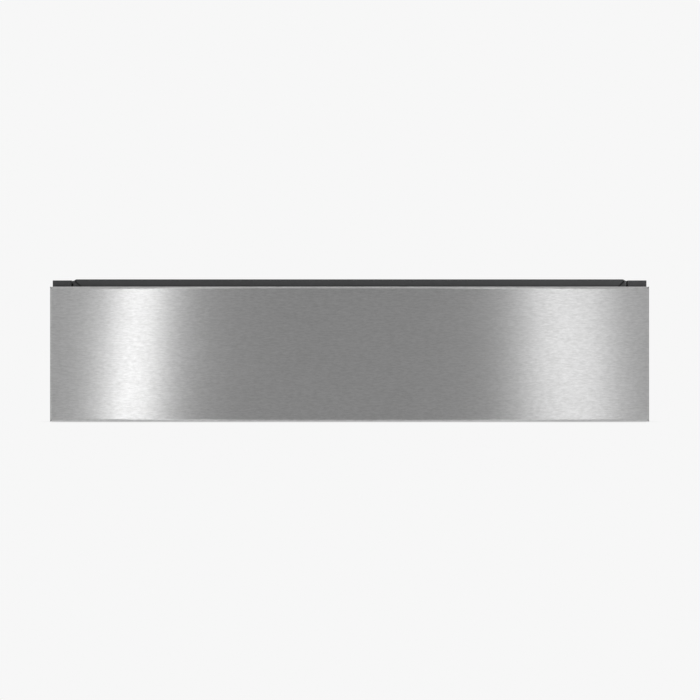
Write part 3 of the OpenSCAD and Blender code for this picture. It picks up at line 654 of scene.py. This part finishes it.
# ---------------------------------------------------------------- mesh tools
def add_copy(name, me, body, at, axis, turn=0.0):
    """A further object of a mesh made once: its own +Z turned to axis, its origin put at that point in millimetres."""
    ob = bpy.data.objects.new(name, me)
    bpy.context.scene.collection.objects.link(ob)
    rot = Vector(axis).to_track_quat("Z", "Y").to_matrix().to_4x4() if Vector(axis).z < 0.999 else Matrix.Identity(4)
    ob.matrix_world = Matrix.Translation(Vector(at) * MM) @ rot @ Matrix.Rotation(turn, 4, "Z")
    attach(ob, body)
    return ob


def loft(bm, rings, cap_start=True, cap_end=True, loop=False, mat=None):
    """Skin between rings of points in millimetres, each with as many points as the next. Returns the faces made."""
    rows = [[bm.verts.new(Vector(p) * MM) for p in ring] for ring in rings]
    n = len(rows[0])
    faces = []
    pairs = list(zip(rows, rows[1:]))
    if loop:
        pairs.append((rows[-1], rows[0]))
    for k, (a, b) in enumerate(pairs):
        for i in range(n):
            j = (i + 1) % n
            f = bm.faces.new((a[i], a[j], b[j], b[i]))
            if mat:
                f.material_index = mat(k)
            faces.append(f)
    if not loop:
        if cap_start:
            faces.append(bm.faces.new(list(reversed(rows[0]))))
        if cap_end:
            faces.append(bm.faces.new(rows[-1]))
    return faces


def rr(x0, x1, y0, y1, r, z, seg=10):
    """Ring round a rectangle with round corners, at height z."""
    pts = []
    for cx, cy, a0 in ((x1 - r, y1 - r, 0), (x0 + r, y1 - r, 90), (x0 + r, y0 + r, 180), (x1 - r, y0 + r, 270)):
        for i in range(seg + 1):
            a = math.radians(a0 + 90 * i / seg)
            pts.append((cx + r * math.cos(a), cy + r * math.sin(a), z))
    return pts


def rr_off(x0, x1, y0, y1, r, off, z, seg=10):
    return rr(x0 - off, x1 + off, y0 - off, y1 + off, max(0.05, r + off), z, seg)


def circle(r, z, n=48, x=0.0, y=0.0, lobes=0, depth=0.0, a0=0.0):
    pts = []
    for i in range(n):
        a = 2 * math.pi * i / n + a0
        k = r * (1 + depth * math.cos(lobes * a)) if lobes else r
        pts.append((x + k * math.cos(a), y + k * math.sin(a), z))
    return pts


def lathe(bm, profile, x=0.0, y=0.0, n=48, mat=None):
    """Turned solid about an upright axis: profile is (radius, height) from the bottom of the outside upward, then back down any inside."""
    return loft(bm, [circle(r, z, n, x, y) for r, z in profile], mat=mat)


def slab(bm, outline, z0, z1):
    """Closed flat solid: an outline (anticlockwise) of points in x, y between two heights."""
    return loft(bm, [[(x, y, z0) for x, y in outline], [(x, y, z1) for x, y in outline]])


def arc_slab(bm, x, y, r, w, a0, a1, z0, z1, n=40):
    """Flat arc of line width w; a full ring where a1 - a0 is 360."""
    full = abs(a1 - a0 - 360) < 1e-6
    k = n if full else n + 1
    sect = []
    for i in range(k):
        a = math.radians(a0 + (a1 - a0) * i / n)
        c, s = math.cos(a), math.sin(a)
        sect.append([(x + q * c, y + q * s, z) for q, z in ((r - w / 2, z0), (r + w / 2, z0), (r + w / 2, z1), (r - w / 2, z1))])
    return loft(bm, sect, loop=full)


def block(bm, x0, x1, y0, y1, z0, z1, r=0.0, seg=2):
    """A box with all its edges rounded by r."""
    made = bmesh.ops.create_cube(bm, size=1.0)["verts"]
    for v in made:
        v.co = Vector(((x0 + x1) / 2 + v.co.x * (x1 - x0), (y0 + y1) / 2 + v.co.y * (y1 - y0), (z0 + z1) / 2 + v.co.z * (z1 - z0))) * MM
    if r:
        edges = list({e for v in made for e in v.link_edges})
        bmesh.ops.bevel(bm, geom=edges, offset=r * MM, segments=seg, profile=0.5, affect="EDGES", clamp_overlap=True)


def prism(bm, outline, x0, x1, r=0.0, seg=2, limit=25.0):
    """Solid of an outline of points in y, z, drawn along x, with its sharp edges rounded by r."""
    faces = loft(bm, [[(x0, y, z) for y, z in outline], [(x1, y, z) for y, z in outline]])
    if r:
        edges = [e for e in {e for f in faces for e in f.edges} if len(e.link_faces) == 2 and e.calc_face_angle(0) > math.radians(limit)]
        bmesh.ops.bevel(bm, geom=edges, offset=r * MM, segments=seg, profile=0.5, affect="EDGES", clamp_overlap=True)


def turned(bm, since, axis, at):
    """Turns what was made after the first since points from upright to that axis and moves it to a point in millimetres."""
    bm.verts.ensure_lookup_table()
    rot = Vector(axis).to_track_quat("Z", "Y").to_matrix()
    for v in bm.verts[since:]:
        v.co = rot @ v.co + Vector(at) * MM


def outward(bm):
    bmesh.ops.recalc_face_normals(bm, faces=bm.faces[:])


def piece(name, bm, body, slot, material=None, smooth=35, extra=()):
    outward(bm)
    ob = add_object(name, bm, body, slot, material, smooth=smooth)
    for key in extra:
        ob.data.materials.append(MAT[key].m)
    return ob


# ---------------------------------------------------------------- CAD surfaces
def smooth_group():
    """Joins the points of a CAD surface and shades it smooth where it bends by less than 30 degrees."""
    ng = bpy.data.node_groups.new("smooth_surface", "GeometryNodeTree")
    ng.interface.new_socket(name="Geometry", in_out="INPUT", socket_type="NodeSocketGeometry")
    ng.interface.new_socket(name="Geometry", in_out="OUTPUT", socket_type="NodeSocketGeometry")
    add = ng.nodes.new
    gin, gout = add("NodeGroupInput"), add("NodeGroupOutput")
    merge = add("GeometryNodeMergeByDistance")
    merge.inputs["Distance"].default_value = 0.000002
    angle = add("GeometryNodeInputMeshEdgeAngle")
    sharp = add("FunctionNodeCompare")
    sharp.data_type = "FLOAT"
    sharp.operation = "GREATER_THAN"
    sharp.inputs["B"].default_value = math.radians(30)
    edges = add("GeometryNodeSetShadeSmooth")
    edges.domain = "EDGE"
    edges.inputs["Shade Smooth"].default_value = False
    faces = add("GeometryNodeSetShadeSmooth")
    faces.domain = "FACE"
    faces.inputs["Shade Smooth"].default_value = True
    ng.links.new(gin.outputs[0], merge.inputs["Geometry"])
    ng.links.new(merge.outputs[0], faces.inputs["Geometry"])
    ng.links.new(faces.outputs[0], edges.inputs["Geometry"])
    ng.links.new(angle.outputs["Unsigned Angle"], sharp.inputs["A"])
    ng.links.new(sharp.outputs["Result"], edges.inputs["Selection"])
    ng.links.new(edges.outputs[0], gout.inputs[0])
    return ng


SMOOTH = smooth_group()
ROUNDED = {"mounting_flange_left": 0.45, "mounting_flange_right": 0.45, "front_lintel": 0.2, "front_jamb_left": 0.2, "front_jamb_right": 0.2, "filler_plate": 1.0, "pump_head": 0.8, "power_inlet": 0.5, "push_latch_housing": 0.5, "fan_frame": 0.8}
for name, ob in NODE.items():
    ob.modifiers.new("smooth", "NODES").node_group = SMOOTH
    if name in ROUNDED:
        b = ob.modifiers.new("round", "BEVEL")
        b.width = ROUNDED[name] * MM
        b.segments = 3
        b.limit_method = "ANGLE"
        b.angle_limit = math.radians(50)
        b.harden_normals = True


# ---------------------------------------------------------------- screws
def screw_mesh(name, head_r, head_h, shank_r, shank_l, slot="screw_steel", sunk=False):
    """Screw with a six-lobed recess. Its own +Z points out of the head, and z = 0 is under the head."""
    n = 48
    rings = [circle(shank_r * 0.55, -shank_l, n)]
    z = -shank_l + 0.25
    while z < -0.55:
        rings += [circle(shank_r, z, n), circle(shank_r * 0.84, z + 0.25, n)]
        z += 0.5
    rings.append(circle(shank_r * 0.84, 0.0 if not sunk else -0.3, n))
    if sunk:
        rings += [circle(head_r * 0.97, head_h * 0.72, n), circle(head_r, head_h * 0.8, n), circle(head_r * 0.99, head_h * 0.97, n)]
    else:
        rings += [circle(head_r * 0.97, 0.0, n), circle(head_r, head_h * 0.1, n)]
        for a in (0, 18, 36, 54, 70):
            c, s = math.cos(math.radians(a)), math.sin(math.radians(a))
            rings.append(circle(head_r * (0.74 + 0.26 * c), head_h * (0.36 + 0.64 * s), n))
    tr = head_r * 0.5
    rings.append(circle(tr * 1.22, head_h, n))
    rings.append(circle(tr, head_h, n, lobes=6, depth=0.12))
    deep = head_h - min(1.3, head_h * 0.8)
    rings.append(circle(tr * 0.93, deep, n, lobes=6, depth=0.12))
    rings.append(circle(tr * 0.25, deep - 0.12, n))
    bm = bmesh.new()
    loft(bm, rings)
    outward(bm)
    me = bpy.data.meshes.new(name)
    bm.to_mesh(me)
    bm.free()
    me.materials.append(MAT[slot].m)
    for p in me.polygons:
        p.use_smooth = True
    me.set_sharp_from_angle(angle=math.radians(38))
    return me


def make_screws():
    rng = random.Random(11)
    ct, top = TOP - 1.2, TOP

    def row(stem, me, body, node, spots):
        obs = []
        for i, (at, axis) in enumerate(spots, 1):
            obs.append(add_copy("%s_%02d" % (stem, i), me, body, at, axis, rng.uniform(0, 6.28)))
        for ob in obs:
            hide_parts(node)

    sheet = screw_mesh("screw_sheet", 3.8, 2.0, 1.9, 4.0)
    spots = [((s * 277.0, y, z), (s, 0, 0)) for s in (-1, 1) for y in (-200, -60, 80, 210) for z in (24, 86)]
    row("side_screw", sheet, "housing", "carcass_screws", spots)
    rear = screw_mesh("screw_rear", 3.8, 2.0, 1.9, 5.2)
    row("rear_screw", rear, "housing", "carcass_screws", [((x, 271.2, z), (0, 1, 0)) for x in (-264, -90, 90, 264) for z in (8, 132)])
    low = screw_mesh("screw_top", 3.5, top - 0.1 - ct, 1.7, 5.0)
    row("top_screw", low, "housing", "carcass_screws", [((s * 266, y, ct), (0, 0, 1)) for s in (-1, 1) for y in (140, 250)])
    latch = screw_mesh("screw_latch", 3.4, 2.0, 1.9, 4.2)
    row("latch_screw", latch, "housing", "carcass_screws", [((s * 18, 267, 40), (0, -1, 0)) for s in (-1, 1)])
    inlet = screw_mesh("screw_inlet", 2.8, 1.8, 1.5, 7.0, sunk=True)
    row("inlet_screw", inlet, "housing", "carcass_screws", [((-215 + s * 20, 273, 70), (0, 1, 0)) for s in (-1, 1)])
    deck = screw_mesh("screw_deck", 3.4, 1.6, 1.7, 5.0)
    row("deck_screw", deck, "drawer", "deck_screws", [((s * 240, y, 112), (0, 0, 1)) for s in (-1, 1) for y in (-235, -75, 90)])
    cover = screw_mesh("screw_cover", 3.4, 1.4, 1.7, 5.0)
    row("cover_screw", cover, "drawer", "deck_screws", [((x, 230, 125), (0, 0, 1)) for x in (-225, -75, 75, 225)] + [((x, 112, 117), (0, -1, 0)) for x in (-225, -75, 75, 225)])
    front = screw_mesh("screw_front", 3.4, 2.0, 1.6, 4.0)
    row("front_screw", front, "drawer", "deck_screws", [((x, -254, z), (0, 1, 0)) for x in (-225, -75, 75, 225) for z in (30, 92)])


make_screws()


# ---------------------------------------------------------------- vacuum chamber
CH = (-175.0, 175.0, -186.0, 69.0, 22.0)  # inner walls and corner radius


def arc_steps(n):
    return [math.radians(90 * i / n) for i in range(n + 1)]


def chamber():
    """Deep-drawn pan: rounded where the floor meets the walls and where the walls turn out into the rim."""
    prof = []
    rf, rt = 6.5, 2.2
    for a in arc_steps(6):  # inner floor fillet
        prof.append((-rf + rf * math.sin(a), 28.5 + rf - rf * math.cos(a)))
    for a in arc_steps(5):  # rim
        prof.append((rt - rt * math.cos(a), 113.0 - rt + rt * math.sin(a)))
    prof += [(10.5, 113.0), (10.85, 112.85), (11.0, 112.5), (11.0, 112.0)]
    prof += [(1.5, 112.0), (1.5, 34.5)]
    ro = rf + 1.0
    for a in arc_steps(6)[1:]:
        prof.append((1.5 - ro + ro * math.cos(a), 27.0 + ro - ro * math.sin(a)))
    bm = bmesh.new()
    loft(bm, [rr_off(*CH, off, z, 14) for off, z in prof])
    ob = piece("vacuum_chamber_pan", bm, "drawer", "chamber_steel", smooth=50)
    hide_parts("vacuum_chamber")


def gasket():
    """Ring of D section with a shallow groove along its crown."""
    half = [(-3.0, 0.0), (-3.0, 0.9), (-2.75, 1.45), (-2.2, 2.0), (-1.5, 2.35), (-0.9, 2.5), (-0.35, 2.4), (0.0, 2.2)]
    prof = half + [(-a, b) for a, b in reversed(half[:-1])]
    bm = bmesh.new()
    loft(bm, [rr_off(*CH, 5.5 + u, 113.0 + v, 16) for u, v in prof], loop=True)
    ob = piece("chamber_gasket_ring", bm, "drawer", "gasket_silicone", smooth=50)
    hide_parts("chamber_gasket")


chamber()
gasket()


# ---------------------------------------------------------------- seal bar
def seal_bar():
    bm = bmesh.new()
    half = [(-7.0, 72.6), (-7.0, 81.7), (-6.7, 82.0), (-5.0, 82.0), (-5.0, 92.0), (-6.7, 92.0), (-7.0, 92.3), (-7.0, 100.2), (-6.2, 101.0)]
    out = [(-6.4, 72.0)] + half
    outline = [(-166 + a, b) for a, b in out] + [(-166 - a, b) for a, b in reversed(out)]
    prism(bm, outline, -158, 158, 0.35, 2, 60)
    bar = piece("seal_bar_profile", bm, "seal_bar", "bar_alloy")
    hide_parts("seal_bar")
    for side, x in (("left", -120), ("right", 120)):
        bm = bmesh.new()
        lathe(bm, [(3.4, 20.0), (4.0, 20.6), (4.0, 66.0), (4.6, 66.4), (4.6, 71.9)], x, -166, 40)
        rod = piece("seal_bar_rod_" + side, bm, "seal_bar", "screw_steel")
        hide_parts("seal_bar")
    # woven tape over the crown; the two heating bands lift it in two low ridges
    path = [(-7.02, 92.6), (-7.02, 100.2), (-6.25, 101.02), (-4.4, 101.02), (-4.0, 101.2), (-2.0, 101.2), (-1.6, 101.02)]
    path = path + [(-a, b) for a, b in reversed(path)]
    outer = []
    for i, (a, b) in enumerate(path):
        p, q = path[max(0, i - 1)], path[min(len(path) - 1, i + 1)]
        d = Vector((q[0] - p[0], q[1] - p[1])).normalized()
        outer.append((a - d.y * 0.14, b + d.x * 0.14))
    outline = [(-166 + a, b) for a, b in outer] + [(-166 + a, b) for a, b in reversed(path)]
    bm = bmesh.new()
    loft(bm, [[(x, y, z) for y, z in outline] for x in (-156.5, 156.5)])
    piece("seal_tape", bm, "seal_bar", "filler_plastic", "seal_tape")
    # end terminals of the heating bands
    for side, s in (("left", -1), ("right", 1)):
        bm = bmesh.new()
        x0, x1 = sorted((s * 158.0, s * 159.2))
        block(bm, x0, x1, -171.0, -161.0, 84.0, 100.4, 0.3)
        piece("seal_terminal_" + side, bm, "seal_bar", "contact_brass")
    me = screw_mesh("screw_terminal", 2.2, 1.3, 1.1, 3.0)
    for side, s in (("left", -1), ("right", 1)):
        for k, z in (("upper", 96.5), ("lower", 88.0)):
            add_copy("terminal_screw_%s_%s" % (side, k), me, "seal_bar", (s * 159.2, -166, z), (s, 0, 0), 0.4)


seal_bar()


# ---------------------------------------------------------------- lid
def lid():
    bm = bmesh.new()
    box = (-200.0, 200.0, -206.0, 96.0, 6.0)
    c = 0.9
    rings = [rr_off(*box, -c, 115.6, 8), rr_off(*box, 0, 115.6 + c, 8), rr_off(*box, 0, 125.6 - c, 8), rr_off(*box, -c, 125.6, 8)]
    loft(bm, rings, mat=lambda k: 1)
    pane = piece("lid_glass_pane", bm, "lid", "lid_glass", smooth=20, extra=("glass_edge",))
    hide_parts("lid_glass")
    # grip: a clip over the edge of the pane, with a rolled lip for the fingers
    outline = [(-198.4, 114.0), (-209.0, 114.0), (-210.6, 114.5), (-211.7, 115.8), (-212.0, 117.6), (-211.2, 120.0), (-211.2, 121.6), (-212.0, 124.0),
               (-211.6, 125.5), (-210.6, 126.4), (-209.0, 126.8), (-199.4, 126.8), (-198.4, 126.3), (-198.4, 125.62), (-206.0, 125.62), (-206.0, 115.58), (-198.4, 115.58)]
    bm = bmesh.new()
    prism(bm, outline, -60, 60, 0.45, 3, 40)
    grip = piece("lid_grip_clip", bm, "lid", "grip_plastic")
    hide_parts("lid_grip")
    # counter bar: ribbed silicone under the pane, pressed into an alloy holder
    bm = bmesh.new()
    outline = [(-171.0, 115.6), (-171.0, 111.8), (-171.6, 111.2), (-171.6, 109.0), (-170.6, 108.0)]
    outline += [(-161.4, 108.0), (-160.4, 109.0), (-160.4, 111.2), (-161.0, 111.8), (-161.0, 115.6)]
    prism(bm, outline, -160, 160, 0.3, 2, 40)
    bar = piece("counter_bar_silicone", bm, "lid", "counter_silicone")
    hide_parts("counter_bar")


lid()


# ---------------------------------------------------------------- touch panel
def touch_panel():
    bm = bmesh.new()
    box = (-200.0, 200.0, -250.0, -214.0, 3.0)
    rings = [rr_off(*box, -0.2, 112.0, 6), rr_off(*box, 0, 112.2, 6), rr_off(*box, 0, 114.5, 6), rr_off(*box, -0.15, 114.85, 6), rr_off(*box, -0.5, 115.0, 6)]
    loft(bm, rings)
    glass = piece("control_glass_panel", bm, "drawer", "panel_glass", smooth=30)
    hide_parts("control_glass")
    z0, z1 = 114.99, 115.03
    bm = bmesh.new()
    for x in (-120, -40, 40, 120):
        arc_slab(bm, x, -232, 8.6, 0.35, 0, 360, z0, z1, 64)
    # on and off
    arc_slab(bm, -120, -232, 4.0, 0.7, 120, 420, z0, z1, 32)
    block(bm, -120.35, -119.65, -230.6, -226.6, z0, z1)
    # how deep the vacuum is
    for i in range(3):
        block(bm, -44.6 + i * 3.5, -42.4 + i * 3.5, -235, -232.6 + i * 2.4, z0, z1)
    # how long it seals: a pouch mouth closed by a line
    slab(bm, [(35.6, -235.4), (44.4, -235.4), (44.4, -234.8), (35.6, -234.8)], z0, z1)
    slab(bm, [(35.6, -235.0), (36.2, -235.0), (36.2, -228.6), (35.6, -228.6)], z0, z1)
    slab(bm, [(43.8, -235.0), (44.4, -235.0), (44.4, -228.6), (43.8, -228.6)], z0, z1)
    slab(bm, [(36.2, -230.8), (43.8, -230.8), (43.8, -229.8), (36.2, -229.8)], z0, z1)
    # start and stop
    slab(bm, [(117.2, -235.4), (123.6, -232.0), (117.2, -228.6)], z0, z1)
    piece("control_icons", bm, "drawer", "filler_plastic", "print_white", smooth=30)
    bm = bmesh.new()
    for x in (-40, 40):
        for i in (-1, 0, 1):
            loft(bm, [circle(0.9, z0, 20, x + i * 5, -219.4), circle(0.9, z1, 20, x + i * 5, -219.4)])
    for x in (-120, 120):
        loft(bm, [circle(0.9, z0, 20, x, -219.4), circle(0.9, z1, 20, x, -219.4)])
    piece("control_lights", bm, "drawer", "latch_tip", "light_window", smooth=30)


touch_panel()


# ---------------------------------------------------------------- spring of the latch
def latch_spring():
    """Pressure spring with a closed turn at each end. It shortens between the plunger's collar and the rear panel."""
    w, r, n, k = 0.3, 3.0, 32, 12
    y0, y1, closed, dead, live = 252.32, 269.68, 0.62, 0.9, 5.0
    total = 2 * dead + live
    steps = int(total * n)
    rings = []
    for i in range(steps + 1):
        t = total * i / steps
        share = min(1.0, max(0.0, (t - dead) / live))
        y = y0 + closed * min(t, dead) + share * (y1 - y0 - 2 * closed * dead) + closed * max(0.0, t - dead - live)
        a = 2 * math.pi * t
        ring = []
        for j in range(k):
            b = 2 * math.pi * j / k
            q = r + w * math.cos(b)
            ring.append((q * math.cos(a), y + w * math.sin(b), 40.0 + q * math.sin(a)))
        rings.append(ring)
    bm = bmesh.new()
    loft(bm, rings)
    ob = piece("latch_spring_coil", bm, "latch_plunger", "spring_steel", smooth=60)
    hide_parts("latch_spring")
    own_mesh(ob)


latch_spring()


# ---------------------------------------------------------------- steel balls of the runners
def runner_balls():
    for side, s in (("left", -1), ("right", 1)):
        for row, v in (("outer", 20.0), ("inner", 15.2)):
            bm = bmesh.new()
            for i in range(8):
                y = -115 + 12 + i * (220 - 24) / 7
                for t in (-1, 1):
                    made = bmesh.ops.create_uvsphere(bm, u_segments=20, v_segments=12, radius=1.73 * MM)["verts"]
                    for q in made:
                        q.co += Vector((s * (262.5 - 7), y, 55 + t * v)) * MM
            piece("runner_balls_%s_%s" % (row, side), bm, "ball_cage_%s_%s" % (row, side), "spring_steel", "ball_steel", smooth=180)


runner_balls()


# ---------------------------------------------------------------- power electronics in the rear bay
def power_board():
    made = []
    bm = bmesh.new()
    loft(bm, [rr(85, 235, 112, 200, 3, z, 6) for z in (17.0, 18.6)])
    made.append(piece("power_board_laminate", bm, "drawer", "circuit_board"))
    bm = bmesh.new()
    for x in (90, 230):
        for y in (117, 195):
            loft(bm, [circle(3.0, z, 6, x, y, a0=math.pi / 6) for z in (11.0, 17.0)])
            lathe(bm, [(2.9, 18.6), (2.9, 19.6), (2.2, 20.4), (0.6, 20.5)], x, y, 24)
    made.append(piece("power_board_spacers", bm, "drawer", "contact_brass"))
    bm = bmesh.new()
    for z0, z1 in ((18.6, 30.0), (53.0, 64.0)):
        block(bm, 95, 149, 122, 182, z0, z1, 0.5, 1)
    block(bm, 95, 106, 122, 182, 30, 53, 0.0)
    block(bm, 138, 149, 122, 182, 30, 53, 0.0)
    made.append(piece("transformer_core", bm, "drawer", "motor_enamel", "lamination", smooth=30))
    bm = bmesh.new()
    prof = [rr(107, 137, 126, 178, 4, 30.5, 6), rr(107, 137, 126, 178, 4, 32.0, 6), rr(108.5, 135.5, 127.5, 176.5, 5, 32.0, 6)]
    prof += [rr(108.5, 135.5, 127.5, 176.5, 5, 51.0, 6), rr(107, 137, 126, 178, 4, 51.0, 6), rr(107, 137, 126, 178, 4, 52.5, 6)]
    loft(bm, prof, mat=lambda k: 1 if k == 2 else 0)
    made.append(piece("transformer_winding", bm, "drawer", "cage_brass", "latch_tip", smooth=30, extra=("copper_wire",)))
    for i, y in enumerate((128, 150, 172), 1):
        bm = bmesh.new()
        lathe(bm, [(8.4, 18.6), (9.0, 19.4), (9.0, 21.6), (8.5, 22.2), (8.5, 22.8), (9.0, 23.4), (9.0, 47.0), (8.5, 47.9), (7.6, 48.0), (7.2, 47.6), (0.5, 47.6)], 166, y, 40, mat=lambda k: 1 if k >= 8 else 0)
        made.append(piece("capacitor_%d" % i, bm, "drawer", "motor_enamel", "capacitor_sleeve", smooth=40, extra=("bar_alloy",)))
    for i, y in enumerate((122, 146), 1):
        bm = bmesh.new()
        block(bm, 184, 204, y, y + 16, 18.6, 36, 0.7, 2)
        made.append(piece("relay_%d" % i, bm, "drawer", "inlet_plastic"))
    bm = bmesh.new()
    outline = [(210, 18.6), (230, 18.6), (230, 52)]
    for x in (228, 222, 216):
        outline += [(x, 52), (x - 0.2, 26), (x - 3.8, 26), (x - 4.0, 52)]
    outline += [(210, 52)]
    loft(bm, [[(x, y, z) for x, z in outline] for y in (120, 190)])
    made.append(piece("heat_sink", bm, "drawer", "bar_alloy", smooth=30))
    for ob in made:
        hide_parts("power_board")


power_board()


def valve():
    made = []
    bm = bmesh.new()
    block(bm, 14, 56, 120, 146, 76, 102, 0.8)
    made.append(piece("valve_manifold", bm, "drawer", "pump_alloy"))
    for side, x in (("left", 24), ("right", 46)):
        bm = bmesh.new()
        lathe(bm, [(8.2, 44.0), (9.0, 44.8), (9.0, 72.0), (8.4, 72.6), (5.0, 72.8), (5.0, 75.95)], x, 133, 40)
        made.append(piece("valve_coil_" + side, bm, "drawer", "inlet_plastic"))
    bm = bmesh.new()
    lathe(bm, [(5.6, 0.0), (7.0, 1.6), (6.0, 1.8), (7.0, 5.0), (6.0, 5.2), (7.0, 8.4), (6.0, 8.6), (6.0, 13.0), (7.0, 13.2), (7.0, 16.0)], 0, 0, 36)
    turned(bm, 0, (0, 1, 0), (30, 104, 92))
    n = len(bm.verts)
    lathe(bm, [(3.9, 0.0), (4.5, 1.2), (3.9, 1.4), (4.5, 3.4), (4.5, 6.0)], 0, 0, 28)
    turned(bm, n, (1, 0, 0), (8, 133, 90))
    made.append(piece("valve_nipples", bm, "drawer", "contact_brass"))
    for ob in made:
        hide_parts("valve_block")


valve()


# ---------------------------------------------------------------- drawer front
def front_panel():
    lo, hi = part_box("front_skin")
    w, h, t, r = hi[0] - lo[0], hi[2] - lo[2], hi[1] - lo[1], 2.4 * MM
    z0 = lo[2]
    seg = 12
    bm = bmesh.new()
    bmesh.ops.create_cube(bm, size=1.0)
    for v in bm.verts:
        v.co = Vector((v.co.x * w, FRONT_Y + t / 2 + v.co.y * t, z0 + h / 2 + v.co.z * h))
    bm.faces.ensure_lookup_table()
    front = [e for e in bm.edges if all(abs(v.co.y - FRONT_Y) < 1e-6 for v in e.verts)]
    bmesh.ops.bevel(bm, geom=front, offset=r, segments=seg, profile=0.5, affect="EDGES", clamp_overlap=True)
    # open at the back, where the backing closes it
    back = [f for f in bm.faces if all(abs(v.co.y - (FRONT_Y + t)) < 1e-6 for v in f.verts)]
    bmesh.ops.delete(bm, geom=back, context="FACES_ONLY")
    # the grain map follows the sheet round its edges, so that the brushing runs on without a break
    uv = bm.loops.layers.uv.new("grain")
    yc = FRONT_Y + r
    for f in bm.faces:
        for loop in f.loops:
            c = loop.vert.co
            u, v = c.x, c.z
            past = max(0.0, c.y - yc)
            if abs(c.x) > w / 2 - 1e-6 or (abs(c.x) > w / 2 - r and abs(f.normal.z) < 0.5):
                u = math.copysign(w / 2 + past, c.x)
                u -= math.copysign(max(0.0, w / 2 - abs(c.x)), c.x)
            top_edge, low_edge = z0 + h, z0
            if f.normal.z > 0.5:
                v = top_edge + past - max(0.0, top_edge - c.z)
            elif f.normal.z < -0.5:
                v = low_edge - past + max(0.0, c.z - low_edge)
            loop[uv].uv = (u, v)
    ob = add_object("drawer_front_panel", bm, "drawer", "brushed_front", smooth=40)
    for e in ob.data.edges:
        if all(ob.data.vertices[i].co.y > FRONT_Y + t - 1e-6 for i in e.vertices):
            e.use_edge_sharp = True
    s = ob.modifiers.new("sheet", "SOLIDIFY")
    s.thickness = 1.0 * MM
    s.offset = -1.0
    s.use_even_offset = True
    wn = ob.modifiers.new("normals", "WEIGHTED_NORMAL")
    wn.keep_sharp = True
    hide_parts("front_skin")
    return ob


front_panel()
